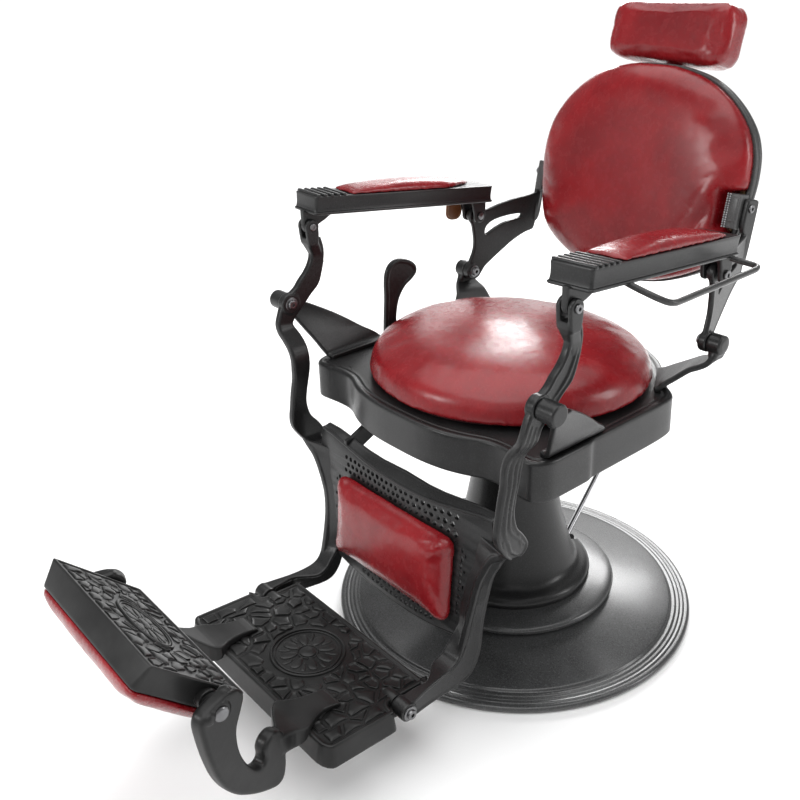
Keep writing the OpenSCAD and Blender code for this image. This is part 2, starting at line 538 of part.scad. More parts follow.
arm_pad(1);  // arm_pad_left
arm_pad(-1);  // arm_pad_right
arm_pins();
towel_bar();
strop_tab();
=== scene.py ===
import bpy, bmesh, math, random
import numpy as np
from mathutils import Vector, Matrix
from mathutils.geometry import tessellate_polygon

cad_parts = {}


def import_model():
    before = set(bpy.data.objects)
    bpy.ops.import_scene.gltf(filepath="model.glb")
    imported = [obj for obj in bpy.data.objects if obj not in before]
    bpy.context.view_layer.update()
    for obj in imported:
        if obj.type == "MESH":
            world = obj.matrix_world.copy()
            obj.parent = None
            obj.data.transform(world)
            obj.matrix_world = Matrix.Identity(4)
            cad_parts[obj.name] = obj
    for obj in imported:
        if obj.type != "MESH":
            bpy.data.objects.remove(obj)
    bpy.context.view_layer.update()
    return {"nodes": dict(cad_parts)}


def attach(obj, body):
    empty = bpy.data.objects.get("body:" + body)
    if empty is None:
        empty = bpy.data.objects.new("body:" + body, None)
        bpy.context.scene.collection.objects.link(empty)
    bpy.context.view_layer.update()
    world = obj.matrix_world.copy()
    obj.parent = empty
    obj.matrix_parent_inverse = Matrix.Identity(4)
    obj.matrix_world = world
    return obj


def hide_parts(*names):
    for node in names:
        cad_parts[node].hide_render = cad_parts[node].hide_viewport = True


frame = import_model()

S = 0.001
scn = bpy.context.scene
nodes = frame["nodes"]


# ------------------------------------------------------------------ transforms (mm)
def T(x, y, z): return Matrix.Translation((x, y, z))
def R(axis, deg): return Matrix.Rotation(math.radians(deg), 4, axis)
MIR = Matrix.Scale(-1, 4, (1, 0, 0))
def side(s, m=Matrix.Identity(4)): return (MIR @ m) if s < 0 else m.copy()
ARM = T(304.4, -220.6, 809.4) @ R('Z', 4.55) @ R('X', -6.54)
BACK = T(0, 350, 900) @ R('X', -11)
HEAD = BACK @ T(0, 36, 146) @ R('X', -4)
LEG = T(0, -290, 300) @ R('X', -6.5) @ R('X', 90)      # local x, height, forward
FOOT = T(0, -394, 123.5) @ R('X', -4)
FLIP = T(0, -757, 304) @ R('X', -45)
knee, hip, arm_f, arm_b, foot_ax, flip_ax = (-277, 619), (165, 582), (-220, 751), (170, 700), (-455, 117), (-757, 304)


# ------------------------------------------------------------------ curves
def cr(p, n, closed=True):
    """Catmull-Rom through points of any dimension."""
    p = [tuple(q) for q in p]; m = len(p); out = []
    rng = range(m) if closed else range(m - 1)
    for i in rng:
        if closed: a, b, c, d = p[i - 1], p[i], p[(i + 1) % m], p[(i + 2) % m]
        else: a, b, c, d = p[max(i - 1, 0)], p[i], p[i + 1], p[min(i + 2, m - 1)]
        for k in range(n):
            t = k / n
            out.append(tuple(0.5 * (2*B + (C - A)*t + (2*A - 5*B + 4*C - D)*t*t + (3*B - A - 3*C + D)*t**3) for A, B, C, D in zip(a, b, c, d)))
    if not closed: out.append(p[-1])
    return out
def area(p): return 0.5 * sum(p[i - 1][0]*p[i][1] - p[i][0]*p[i - 1][1] for i in range(len(p)))
def ccw(p): return p if area(p) > 0 else p[::-1]
def resample(p, step):
    q = p + [p[0]]; d = [0.0]
    for a, b in zip(q, q[1:]): d.append(d[-1] + math.dist(a, b))
    n = max(8, int(round(d[-1] / step))); out = []; j = 0
    for i in range(n):
        t = d[-1] * i / n
        while d[j + 1] < t: j += 1
        f = (t - d[j]) / max(1e-9, d[j + 1] - d[j])
        out.append(tuple(q[j][k] + (q[j + 1][k] - q[j][k]) * f for k in range(len(q[0]))))
    return out
def both(h): return h + [(-x, y) for x, y in h[-2:0:-1]]
def inset(p, d, smooth=0.0):
    """Moves a closed outline d to its left; for a counter-clockwise one that is inwards."""
    n = len(p); out = []
    for i in range(n):
        a, b, c = p[i - 1], p[i], p[(i + 1) % n]
        e1 = (b[0] - a[0], b[1] - a[1]); e2 = (c[0] - b[0], c[1] - b[1])
        l1 = math.hypot(*e1) or 1; l2 = math.hypot(*e2) or 1
        n1 = (-e1[1]/l1, e1[0]/l1); n2 = (-e2[1]/l2, e2[0]/l2)
        m = (n1[0] + n2[0], n1[1] + n2[1]); l = math.hypot(*m) or 1
        m = (m[0]/l, m[1]/l); k = max(0.62, m[0]*n1[0] + m[1]*n1[1])
        out.append((b[0] + m[0]*d/k, b[1] + m[1]*d/k))
    if smooth:
        out = [tuple(o*(1 - smooth) + (out[i - 1][j] + out[(i + 1) % n][j])*0.5*smooth for j, o in enumerate(out[i])) for i in range(n)]
    return out
def arc(r, n=4):
    """Quarter round from the wall (0, -r) to the face (r, 0): [(inset, drop)]."""
    return [(r*(1 - math.cos(a)), -r*(1 - math.sin(a))) for a in [math.pi/2*i/n for i in range(n + 1)]]


# ------------------------------------------------------------------ meshes
def obj(name, verts, faces, mat, M=None, body=None, rep=(), sharp=38, recalc=True, slot=None):
    me = bpy.data.meshes.new(name)
    if M is not None: verts = [M @ Vector(v) for v in verts]
    me.from_pydata([(v[0]*S, v[1]*S, v[2]*S) for v in verts], [], faces)
    bm = bmesh.new(); bm.from_mesh(me)
    bmesh.ops.remove_doubles(bm, verts=bm.verts, dist=1e-6)
    bmesh.ops.dissolve_degenerate(bm, edges=bm.edges, dist=1e-6)
    if recalc: bmesh.ops.recalc_face_normals(bm, faces=bm.faces)
    bm.to_mesh(me); bm.free()
    me.polygons.foreach_set('use_smooth', [True]*len(me.polygons))
    if sharp: me.set_sharp_from_angle(angle=math.radians(sharp))
    ob = bpy.data.objects.new(name, me); scn.collection.objects.link(ob)
    me.materials.append(mat)
    if body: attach(ob, body)
    if rep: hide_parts(*([rep] if isinstance(rep, str) else rep))
    return ob
def merge(name, parts, mat, M=None, **kw):
    """parts: list of (verts, faces) in mm."""
    V, F = [], []
    for v, f in parts:
        o = len(V); V += [tuple(q) for q in v]; F += [tuple(i + o for i in g) for g in f]
    return obj(name, V, F, mat, M, **kw)
def xf(part, M): return [tuple(M @ Vector(v)) for v in part[0]], part[1]
def loft(rings, caps=True, closed=False):
    """Joins rings of the same number of points."""
    V = [q for r in rings for q in r]; n = len(rings[0]); F = []
    m = len(rings)
    for i in range(m if closed else m - 1):
        for k in range(n):
            a, b = i*n, ((i + 1) % m)*n
            F.append((a + k, a + (k + 1) % n, b + (k + 1) % n, b + k))
    if caps and not closed:
        F.append(tuple(range(n))[::-1]); F.append(tuple(range((m - 1)*n, m*n)))
    return V, F
def slab(outline, profile, holes=(), hole_profile=None, to3=None, step=3.0, keep=False, blur=0.12):
    """A flat piece from a closed outline. profile: [(inset, height)] from the bottom face round the wall to the top face;
    the first and last rings are filled. holes go right through with their own profile."""
    o = ccw(list(outline)); o = o if keep else resample(o, step)
    loops = [(o, profile)] + [((ccw(list(h)) if keep else resample(ccw(list(h)), step*0.8))[::-1], hole_profile or profile) for h in holes]
    V, F, first, last = [], [], [], []
    for base, prof in loops:
        n = len(base); start = len(V); cur = base; at = 0.0; rings = {}
        for d in sorted({p[0] for p in prof}):
            while at < d - 1e-6:
                s = min(1.5, d - at); cur = inset(cur, s, blur); at += s
            rings[d] = cur
        for d, h in prof: V += [(x, y, h) for x, y in rings[d]]
        for i in range(len(prof) - 1):
            a, b = start + i*n, start + (i + 1)*n
            F += [(a + k, a + (k + 1) % n, b + (k + 1) % n, b + k) for k in range(n)]
        first.append(range(start, start + n)); last.append(range(start + (len(prof) - 1)*n, start + len(prof)*n))
    for ids in (first, last):
        flat = [i for r in ids for i in r]
        tris = tessellate_polygon([[Vector((V[i][0], V[i][1], 0)) for i in r] for r in ids])
        F += [tuple(flat[i] for i in t) for t in tris]
    if to3: V = [to3(*v) for v in V]
    return V, F
def cast_profile(t, r=2.5, rim=4.0, dip=1.6, both_sides=True):
    """Plate t thick about 0 with rounded edges, a raised rim and a sunk field."""
    top = [(i, t/2 + d) for i, d in arc(r)] + ([(r + rim, t/2), (r + rim + 1.0, t/2 - dip*0.5), (r + rim + 2.0, t/2 - dip), (r + rim + 3.2, t/2 - dip)] if rim else [(r + 1, t/2)])
    bot = [(i, -h) for i, h in (top if both_sides else [(i, t/2 + d) for i, d in arc(r)] + [(r + 1, t/2)])][::-1]
    return bot + top
def lathe(profile, seg=96, M=None, closed=False):
    rings = []
    for k in range(seg):
        a = 2*math.pi*k/seg
        rings.append([(r*math.cos(a), r*math.sin(a), z) for r, z in profile])
    V = [q for r in rings for q in r]; n = len(profile); F = []
    for k in range(seg):
        a, b = k*n, ((k + 1) % seg)*n
        for i in range(n if closed else n - 1):
            j = (i + 1) % n
            F.append((a + i, b + i, b + j, a + j))
    out = (V, F)
    return xf(out, M) if M is not None else out
def along(p, q):
    """Matrix whose +Z runs from p to q, origin at p."""
    d = Vector(q) - Vector(p)
    return Matrix.Translation(p) @ d.to_track_quat('Z', 'Y').to_matrix().to_4x4()
def tube(path, r, n=20, caps=True, closed=False, flat=1.0):
    """Round tube along a path of 3D points; r may be a list."""
    P = [Vector(p) for p in path]; m = len(P); rings = []; up = Vector((0, 0, 1))
    t0 = (P[1] - P[0]).normalized()
    if abs(t0.dot(up)) > 0.9: up = Vector((0, 1, 0))
    u = t0.cross(up).normalized(); prev = t0
    for i in range(m):
        if closed: t = (P[(i + 1) % m] - P[i - 1]).normalized()
        else: t = (P[min(i + 1, m - 1)] - P[max(i - 1, 0)]).normalized()
        q = prev.rotation_difference(t); u = (q @ u).normalized(); prev = t; v = t.cross(u)
        rr = r[i] if isinstance(r, (list, tuple)) else r
        rings.append([tuple(P[i] + u*rr*math.cos(2*math.pi*k/n) + v*rr*flat*math.sin(2*math.pi*k/n)) for k in range(n)])
    return loft(rings, caps, closed)
def rbar(x0, x1, at, r, bev=1.5, seg=48):
    """Round bar along X with bevelled ends."""
    b = min(bev, r*0.4); L = abs(x1 - x0)
    prof = [(0, 0), (r - b, 0), (r - b*0.3, b*0.3), (r, b), (r, L - b), (r - b*0.3, L - b*0.3), (r - b, L), (0, L)]
    return lathe(prof, seg, T(min(x0, x1), at[0], at[1]) @ R('Y', 90))
def hexhead(R_, h, M, hexr=0.45, seg=48):
    """Round screw head with a hexagon socket, base on z = 0, top at h."""
    V, F = [], []
    def ring(fn):
        s = len(V); V.extend(fn(2*math.pi*k/seg) for k in range(seg)); return s
    def hexf(a, rr):
        k = (a % (math.pi/3)) - math.pi/6
        return rr*math.cos(math.pi/6)/math.cos(k)
    rs = [ring(lambda a: (R_*0.97*math.cos(a), R_*0.97*math.sin(a), 0)), ring(lambda a: (R_*math.cos(a), R_*math.sin(a), h*0.15)),
          ring(lambda a: (R_*math.cos(a), R_*math.sin(a), h*0.62)), ring(lambda a: (R_*0.93*math.cos(a), R_*0.93*math.sin(a), h*0.9)), ring(lambda a: (R_*0.8*math.cos(a), R_*0.8*math.sin(a), h)),
          ring(lambda a: (R_*0.62*math.cos(a), R_*0.62*math.sin(a), h)),
          ring(lambda a: (hexf(a, R_*hexr)*math.cos(a), hexf(a, R_*hexr)*math.sin(a), h*0.97)), ring(lambda a: (hexf(a, R_*hexr*0.97)*math.cos(a), hexf(a, R_*hexr*0.97)*math.sin(a), h*0.3))]
    for a, b in zip(rs, rs[1:]): F += [(a + k, a + (k + 1) % seg, b + (k + 1) % seg, b + k) for k in range(seg)]
    F.append(tuple(rs[0] + k for k in range(seg))[::-1]); F.append(tuple(rs[-1] + k for k in range(seg)))
    return xf((V, F), M)
def yz(x=0.0, lean=None):
    """(a, b, c) -> X = x + c, Y = a, Z = b."""
    return (lambda a, b, c: (x + c + (lean(a, b) if lean else 0), a, b))
def rbox(lo, hi, r=2.0, n=3):
    """Box with rounded edges: rounded outline and rounded top and bottom."""
    x0, y0, z0 = lo; x1, y1, z1 = hi; r = min(r, (x1 - x0)/2.2, (y1 - y0)/2.2, (z1 - z0)/2.2)
    o = []
    for cx, cy, a0 in ((x1 - r, y1 - r, 0), (x0 + r, y1 - r, 90), (x0 + r, y0 + r, 180), (x1 - r, y0 + r, 270)):
        o += [(cx + r*math.cos(math.radians(a0 + 90*k/n)), cy + r*math.sin(math.radians(a0 + 90*k/n))) for k in range(n + 1)]
    def ring(d, z):
        cx, cy = (x0 + x1)/2, (y0 + y1)/2
        return [(cx + (x - cx)*(1 - d/((x1 - x0)/2)), cy + (y - cy)*(1 - d/((y1 - y0)/2)), z) for x, y in o]
    prof = [(d, z0 - h) for d, h in arc(r, n)][::-1] + [(d, z1 + h) for d, h in arc(r, n)]
    return loft([ring(d, z) for d, z in prof])
def sub(ob, cutters, solver='EXACT'):
    """Cuts other meshes out of ob, for good."""
    for v, f in cutters:
        c = obj('cutter', v, f, ob.data.materials[0], sharp=0)
        m = ob.modifiers.new('cut', 'BOOLEAN'); m.operation = 'DIFFERENCE'; m.solver = solver; m.object = c
        apply(ob)
        bpy.data.objects.remove(c)
    ob.data.polygons.foreach_set('use_smooth', [True]*len(ob.data.polygons))
    ob.data.set_sharp_from_angle(angle=math.radians(38))
    return ob
def apply(ob):
    dg = bpy.context.evaluated_depsgraph_get(); dg.update()
    me = bpy.data.meshes.new_from_object(ob.evaluated_get(dg), preserve_all_data_layers=True, depsgraph=dg)
    ob.modifiers.clear(); old = ob.data; ob.data = me; me.name = ob.name
    if old.users == 0: bpy.data.meshes.remove(old)
def fused(ob, voxel=1.6, smooth=4, keep_sharp=False):
    """Melts the overlapping solids of a casting into one skin with soft inner corners."""
    m = ob.modifiers.new('v', 'REMESH'); m.mode = 'VOXEL'; m.voxel_size = voxel*S; m.adaptivity = 0
    if smooth:
        m = ob.modifiers.new('s', 'SMOOTH'); m.factor = 0.5; m.iterations = smooth
    apply(ob)
    ob.data.polygons.foreach_set('use_smooth', [True]*len(ob.data.polygons))
    return ob


# ------------------------------------------------------------------ materials
class Mat:
    def __init__(self, name, color, rough, metal=0.0, **inp):
        self.m = bpy.data.materials.new(name); self.m.use_nodes = True; self.t = self.m.node_tree
        self.b = next(n for n in self.t.nodes if n.type == 'BSDF_PRINCIPLED')
        self.b.inputs['Base Color'].default_value = (*color, 1); self.b.inputs['Roughness'].default_value = rough; self.b.inputs['Metallic'].default_value = metal
        for k, v in inp.items(): self.b.inputs[k.replace('_', ' ')].default_value = v
        self.co = self.t.nodes.new('ShaderNodeTexCoord').outputs['Object']; self.h = None
    def n(self, kind, **kw):
        n = self.t.nodes.new(kind)
        for k, v in kw.items():
            if hasattr(n, k): setattr(n, k, v)
            else: n.inputs[k].default_value = v
        return n
    def l(self, a, b): self.t.links.new(a, b)
    def noise(self, scale, detail=2.0, rough=0.5, dist=0.0, vec=None):
        n = self.n('ShaderNodeTexNoise'); n.inputs['Scale'].default_value = scale; n.inputs['Detail'].default_value = detail
        n.inputs['Roughness'].default_value = rough; n.inputs['Distortion'].default_value = dist; self.l(vec or self.co, n.inputs['Vector']); return n.outputs['Fac']
    def vor(self, scale, feature='F1', vec=None, rand=1.0):
        n = self.n('ShaderNodeTexVoronoi'); n.feature = feature; n.inputs['Scale'].default_value = scale; n.inputs['Randomness'].default_value = rand
        self.l(vec or self.co, n.inputs['Vector']); return n.outputs['Distance']
    def map(self, f, a, b, c=0.0, d=1.0, smooth=True):
        n = self.n('ShaderNodeMapRange'); n.interpolation_type = 'SMOOTHSTEP' if smooth else 'LINEAR'
        self.l(f, n.inputs['Value'])
        for k, v in zip(('From Min', 'From Max', 'To Min', 'To Max'), (a, b, c, d)): n.inputs[k].default_value = v
        return n.outputs['Result']
    def math(self, op, a, b):
        n = self.n('ShaderNodeMath'); n.operation = op
        for i, x in enumerate((a, b)):
            if isinstance(x, (int, float)): n.inputs[i].default_value = x
            else: self.l(x, n.inputs[i])
        return n.outputs[0]
    def mix(self, f, a, b):
        n = self.n('ShaderNodeMix'); n.data_type = 'RGBA'
        for k, x in ((0, f), (6, a), (7, b)):
            if isinstance(x, (int, float)): n.inputs[k].default_value = x
            elif isinstance(x, tuple): n.inputs[k].default_value = (*x, 1)
            else: self.l(x, n.inputs[k])
        return n.outputs[2]
    def color(self, c): self.l(c, self.b.inputs['Base Color']); return self
    def rough(self, c): self.l(c, self.b.inputs['Roughness']); return self
    def bump(self, f, dist, strength=1.0):
        n = self.n('ShaderNodeBump'); n.inputs['Distance'].default_value = dist*S; n.inputs['Strength'].default_value = strength
        self.l(f, n.inputs['Height'])
        if self.h is not None: self.l(self.h, n.inputs['Normal'])
        self.h = n.outputs['Normal']; self.l(self.h, self.b.inputs['Normal']); return self

def enamel(name, dark, light, rough, grain=0.12, scale=750, edge_wear_and_sheen=0.4, coat=0.06):
    """Enamel over a casting: fine orange peel with light specks, edges lightened a little by pointiness: partly rubbed
    wear, partly a painted highlight.
    """
    m = Mat(name, light, rough)
    m.b.inputs['Coat Weight'].default_value = coat; m.b.inputs['Coat Roughness'].default_value = 0.18; m.b.inputs['Specular IOR Level'].default_value = 0.36
    g = m.noise(scale, 3, 0.6); sp = m.noise(scale*0.55, 1, 0.5); big = m.noise(9, 3, 0.55)
    geo = m.n('ShaderNodeNewGeometry'); edge = m.map(geo.outputs['Pointiness'], 0.52, 0.6)
    c = m.mix(m.map(sp, 0.5, 0.72), dark, light)
    c = m.mix(m.math('MULTIPLY', m.map(big, 0.35, 0.75), 0.35), c, tuple(min(1, x*1.25) for x in light))
    # painted highlight with some wear: edges lightened where pointiness is high
    c = m.mix(m.math('MULTIPLY', edge, edge_wear_and_sheen), c, tuple(min(1, x*2.2 + 0.01) for x in light))
    m.color(c)
    m.rough(m.math('ADD', m.math('MULTIPLY', m.map(g, 0.3, 0.7), 0.16), m.math('ADD', m.math('MULTIPLY', big, 0.1), rough - 0.12)))
    m.bump(m.noise(60, 2, 0.5), 0.25, 0.35)
    m.bump(g, grain, 0.8)
    return m.m
M_cast = enamel('cast_enamel', (0.009, 0.009, 0.0092), (0.02, 0.02, 0.0205), 0.34)
M_base = enamel('base_enamel', (0.034, 0.0345, 0.035), (0.068, 0.069, 0.07), 0.3, 0.06, 620, 0.15, 0.5)
# painted sheen: a lighter copy of the cast enamel for the back shell and strips, standing in for light on their rims
M_rimlight = enamel('cast_enamel_painted_sheen', (0.035, 0.035, 0.035), (0.08, 0.08, 0.08), 0.36)

def gloss_black():
    m = Mat('black_enamel', (0.012, 0.012, 0.012), 0.2)
    m.b.inputs['Coat Weight'].default_value = 0.05; m.b.inputs['Coat Roughness'].default_value = 0.2; m.b.inputs['Specular IOR Level'].default_value = 0.26
    g = m.noise(420, 3, 0.6); big = m.noise(14, 3, 0.5)
    geo = m.n('ShaderNodeNewGeometry'); edge = m.map(geo.outputs['Pointiness'], 0.53, 0.62)
    # painted highlight with some wear: edges lightened where pointiness is high
    m.color(m.mix(m.math('MULTIPLY', edge, 0.5), m.mix(m.map(big, 0.4, 0.7), (0.009, 0.009, 0.009), (0.02, 0.02, 0.02)), (0.06, 0.06, 0.06)))
    m.rough(m.math('ADD', m.math('MULTIPLY', big, 0.2), 0.29))
    m.bump(m.noise(90, 2, 0.5), 0.35, 0.4); m.bump(g, 0.08, 0.5)
    return m.m
M_black = gloss_black()

def leather(name='red_leather', a=(0.19, 0.0055, 0.009), b=(0.285, 0.009, 0.013), rough=0.25):
    m = Mat(name, a, rough)
    m.b.inputs['Coat Weight'].default_value = 0.25; m.b.inputs['Coat Roughness'].default_value = 0.21; m.b.inputs['Specular IOR Level'].default_value = 0.33
    big = m.noise(11, 4, 0.6, 0.4); fine = m.noise(70, 4, 0.6)
    warp = m.n('ShaderNodeVectorMath'); warp.operation = 'ADD'
    wn = m.n('ShaderNodeTexNoise'); wn.inputs['Scale'].default_value = 240; wn.inputs['Detail'].default_value = 1.0; m.l(m.co, wn.inputs['Vector'])
    sc = m.n('ShaderNodeVectorMath'); sc.operation = 'SCALE'; sc.inputs['Scale'].default_value = 0.0016; m.l(wn.outputs['Color'], sc.inputs[0])
    m.l(m.co, warp.inputs[0]); m.l(sc.outputs[0], warp.inputs[1])
    cells = m.vor(520, 'DISTANCE_TO_EDGE', warp.outputs[0]); crease = m.map(cells, 0.0, 0.16)
    c = m.mix(m.map(big, 0.3, 0.72), a, b)
    c = m.mix(m.math('MULTIPLY', m.map(fine, 0.45, 0.75), 0.18), c, tuple(x*1.35 for x in b))
    c = m.mix(m.math('MULTIPLY', m.map(crease, 1.0, 0.0), 0.25), c, tuple(x*0.45 for x in a))
    m.color(c)
    m.rough(m.math('ADD', m.math('MULTIPLY', m.map(fine, 0.3, 0.7), 0.14), rough - 0.07))
    m.bump(m.noise(22, 3, 0.5, 0.5), 1.0, 0.16)      # soft unevenness of the hide over foam
    m.bump(m.noise(95, 3, 0.6), 0.4, 0.2)
    m.bump(crease, 0.09, 0.55)
    return m.m
M_leather = leather()

def metal(name, color, rough, brushed=0.0):
    m = Mat(name, color, rough, 1.0)
    g = m.noise(40, 4, 0.6); f = m.noise(900, 2, 0.5)
    m.rough(m.math('ADD', m.math('MULTIPLY', g, 0.14), rough - 0.05))
    m.color(m.mix(m.map(g, 0.35, 0.7), color, tuple(x*0.82 for x in color)))
    m.bump(f, 0.03, 0.25 + brushed)
    return m.m
M_chrome = metal('bright_chrome', (0.78, 0.78, 0.8), 0.1)
M_bolt = metal('dulled_steel', (0.2, 0.2, 0.205), 0.3, 0.2)
M_steel = metal('machined_steel', (0.42, 0.42, 0.43), 0.34, 0.3)
M_brass = metal('bush_brass', (0.66, 0.47, 0.2), 0.3, 0.2)

def rubber():
    m = Mat('black_rubber', (0.02, 0.02, 0.02), 0.7)
    g = m.noise(300, 3, 0.6); m.color(m.mix(m.map(g, 0.3, 0.8), (0.012, 0.012, 0.012), (0.035, 0.035, 0.035))); m.bump(g, 0.15, 0.6); return m.m
M_rubber = rubber()
def plywood():
    m = Mat('plywood', (0.4, 0.26, 0.13), 0.6)
    st = m.n('ShaderNodeMapping'); st.inputs['Scale'].default_value = (4, 60, 60); m.l(m.co, st.inputs['Vector'])
    g = m.noise(3, 5, 0.6, 1.5, st.outputs['Vector']); m.color(m.mix(m.map(g, 0.35, 0.65), (0.28, 0.16, 0.07), (0.5, 0.34, 0.18))); m.bump(g, 0.2, 0.5); return m.m
M_wood = plywood()
M_tab = leather('tan_leather', (0.2, 0.07, 0.018), (0.34, 0.13, 0.035), 0.45)
def plastic():
    m = Mat('black_plastic', (0.015, 0.015, 0.015), 0.3)
    g = m.noise(200, 3, 0.5); m.color(m.mix(m.map(g, 0.3, 0.8), (0.01, 0.01, 0.01), (0.025, 0.025, 0.025))); m.bump(g, 0.06, 0.4); return m.m
M_plastic = plastic()

def paint(name, mat):
    o = nodes[name]
    if not o.data.materials: o.data.materials.append(mat)
    for i in range(len(o.data.materials)): o.data.materials[i] = mat
    for sl in o.material_slots: sl.material = mat
for nm in 'swivel_hub pump_cylinder lock_block headrest_socket headrest_shell back_clamps'.split(): paint(nm, M_cast)
for nm in 'base_screws reservoir lever_pin pump_plunger plunger_spring thrust_bearing lock_rod headrest_post arm_pins'.split(): paint(nm, M_steel)
for nm in 'pump_lever ram'.split(): paint(nm, M_chrome)
for nm in 'pivot_pins footrest_pins flip_screws back_screws'.split(): paint(nm, M_bolt)
for nm in 'floor_ring piston_seal pedal_rubber'.split(): paint(nm, M_rubber)
paint('back_board', M_wood)
M_cloth = enamel('board_cover', (0.02, 0.003, 0.004), (0.05, 0.006, 0.008), 0.7, 0.2, 500)
paint('cushion_board', M_cloth)
paint('guide_bush', M_brass); paint('headrest_knob', M_plastic)


# ------------------------------------------------------------------ cushions
def dent(ob, M, fn):
    """Moves each point along its normal by fn(local point) mm."""
    I = M.inverted(); nn = [v.normal.copy() for v in ob.data.vertices]
    for v, n in zip(ob.data.vertices, nn):
        d = fn(I @ (v.co / S))
        if d: v.co = v.co + n*(d*S)
def swell(ob, voxel=5.0, pressure=4.0, cap=12.0, frames=20, shrink=0.0, hold=None, stiff=15.0, smooth=8, after=None):
    """Puffs a closed mesh up as cloth under pressure, holding the points that hold(co in mm) picks."""
    m = ob.modifiers.new('v', 'REMESH'); m.mode = 'VOXEL'; m.voxel_size = voxel*S; apply(ob)
    start = np.empty(len(ob.data.vertices)*3); ob.data.vertices.foreach_get('co', start); start = start.reshape(-1, 3)
    c = ob.modifiers.new('c', 'CLOTH'); st = c.settings; st.use_pressure = True; st.uniform_pressure_force = pressure
    st.effector_weights.gravity = 0; st.mass = 0.3; st.tension_stiffness = stiff; st.compression_stiffness = stiff; st.shear_stiffness = 5; st.bending_stiffness = 0.5
    st.quality = 5; st.shrink_min = shrink; c.collision_settings.use_collision = False; c.collision_settings.use_self_collision = False
    if hold:
        g = ob.vertex_groups.new(name='pin'); ids = [i for i, v in enumerate(start) if hold(v*1000)]
        if ids: g.add(ids, 1.0, 'REPLACE'); st.vertex_group_mass = 'pin'
    c.point_cache.frame_start = 1; c.point_cache.frame_end = frames
    f0 = scn.frame_current
    for f in range(1, frames + 1): scn.frame_set(f)
    apply(ob); scn.frame_set(f0)
    end = np.empty(len(ob.data.vertices)*3); ob.data.vertices.foreach_get('co', end); end = end.reshape(-1, 3)
    d = end - start; l = np.linalg.norm(d, axis=1, keepdims=True); k = np.minimum(1.0, cap*S/np.maximum(l, 1e-9))
    end = start + d*k
    ob.data.vertices.foreach_set('co', end.ravel()); ob.vertex_groups.clear()
    m = ob.modifiers.new('s', 'SMOOTH'); m.factor = 0.5; m.iterations = smooth; apply(ob)
    if after: after(ob)
    m = ob.modifiers.new('d', 'SUBSURF'); m.levels = 1; apply(ob)
    ob.data.polygons.foreach_set('use_smooth', [True]*len(ob.data.polygons))
    return ob
def clampbox(ob, M, lo, hi):
    """Keeps the points inside a box of a local frame (mm)."""
    I = M.inverted()
    for v in ob.data.vertices:
        p = I @ (v.co / S); q = Vector([min(max(p[i], lo[i]), hi[i]) for i in range(3)])
        if (q - p).length > 1e-6: v.co = (M @ q)*S


# ------------------------------------------------------------------ studio and camera
def studio():
    me = bpy.data.meshes.new('floor'); me.from_pydata([(-160, -160, 0), (160, -160, 0), (160, 160, 0), (-160, 160, 0)], [], [(0, 1, 2, 3)])
    fl = bpy.data.objects.new('floor', me); scn.collection.objects.link(fl)
    m = Mat('floor_pale', (0.95, 0.95, 0.95), 0.7); g = m.noise(3, 2, 0.5); m.color(m.mix(g, (0.94, 0.94, 0.94), (0.96, 0.96, 0.96)))
    m.b.inputs['Specular IOR Level'].default_value = 0.1
    me.materials.append(m.m)
    scn.view_settings.view_transform = 'Standard'; scn.view_settings.look = 'None'
    w = bpy.data.worlds.new('studio'); scn.world = w; w.use_nodes = True
    bg = w.node_tree.nodes['Background']; bg.inputs[0].default_value = (1, 1, 1, 1); bg.inputs[1].default_value = 0.3
    def lamp(name, loc, at, size, power, sy=None):
        l = bpy.data.lights.new(name, 'AREA'); l.shape = 'RECTANGLE'; l.size = size; l.size_y = sy or size; l.energy = power
        o = bpy.data.objects.new(name, l); scn.collection.objects.link(o); o.location = loc
        o.rotation_euler = (Vector(at) - Vector(loc)).to_track_quat('-Z', 'Y').to_euler(); return o
    def sun(name, d, strength, angle):
        l = bpy.data.lights.new(name, 'SUN'); l.energy = strength; l.angle = math.radians(angle)
        o = bpy.data.objects.new(name, l); scn.collection.objects.link(o); o.location = Vector(d)*6
        o.rotation_euler = (-Vector(d)).to_track_quat('-Z', 'Y').to_euler(); return o
    sun('sky_soft', (-0.1, 0.0, 1.0), 2.3, 70)
    sun('sky_front', (0.35, -0.75, 0.9), 0.5, 60)
    lamp('window', (-1.36, 2.2, 1.76), (0.05, 0.05, 0.5), 1.6, 42, 0.6)
    lamp('wall', (-1.75, 2.75, 1.5), (0.1, 0.0, 0.4), 3.2, 26, 1.8)
    lamp('side', (2.3, 1.5, 1.5), (0.2, 0.2, 0.5), 0.6, 22, 1.4)
    lamp('front', (-0.9, -2.9, 1.7), (0, -0.2, 0.6), 1.0, 26, 0.7)
def camera():
    az, el, ro = [math.radians(v) for v in (50.863, 25.665, -2.532)]
    back = Vector((math.sin(az)*math.cos(el), -math.cos(az)*math.cos(el), math.sin(el)))
    fwd = -back; right = fwd.cross(Vector((0, 0, 1))).normalized(); up = right.cross(fwd)
    r2 = right*math.cos(ro) + up*math.sin(ro); u2 = -right*math.sin(ro) + up*math.cos(ro)
    c = bpy.data.cameras.new('view'); c.lens = 41.776; c.sensor_width = 36; c.sensor_fit = 'HORIZONTAL'; c.clip_end = 50
    o = bpy.data.objects.new('view', c); scn.collection.objects.link(o)
    m = Matrix.Identity(3); m.col[0] = r2; m.col[1] = u2; m.col[2] = -fwd
    o.matrix_world = Matrix.Translation((1.067248, -1.141464, 1.186314)) @ m.to_4x4()
    scn.camera = o
studio(); camera()

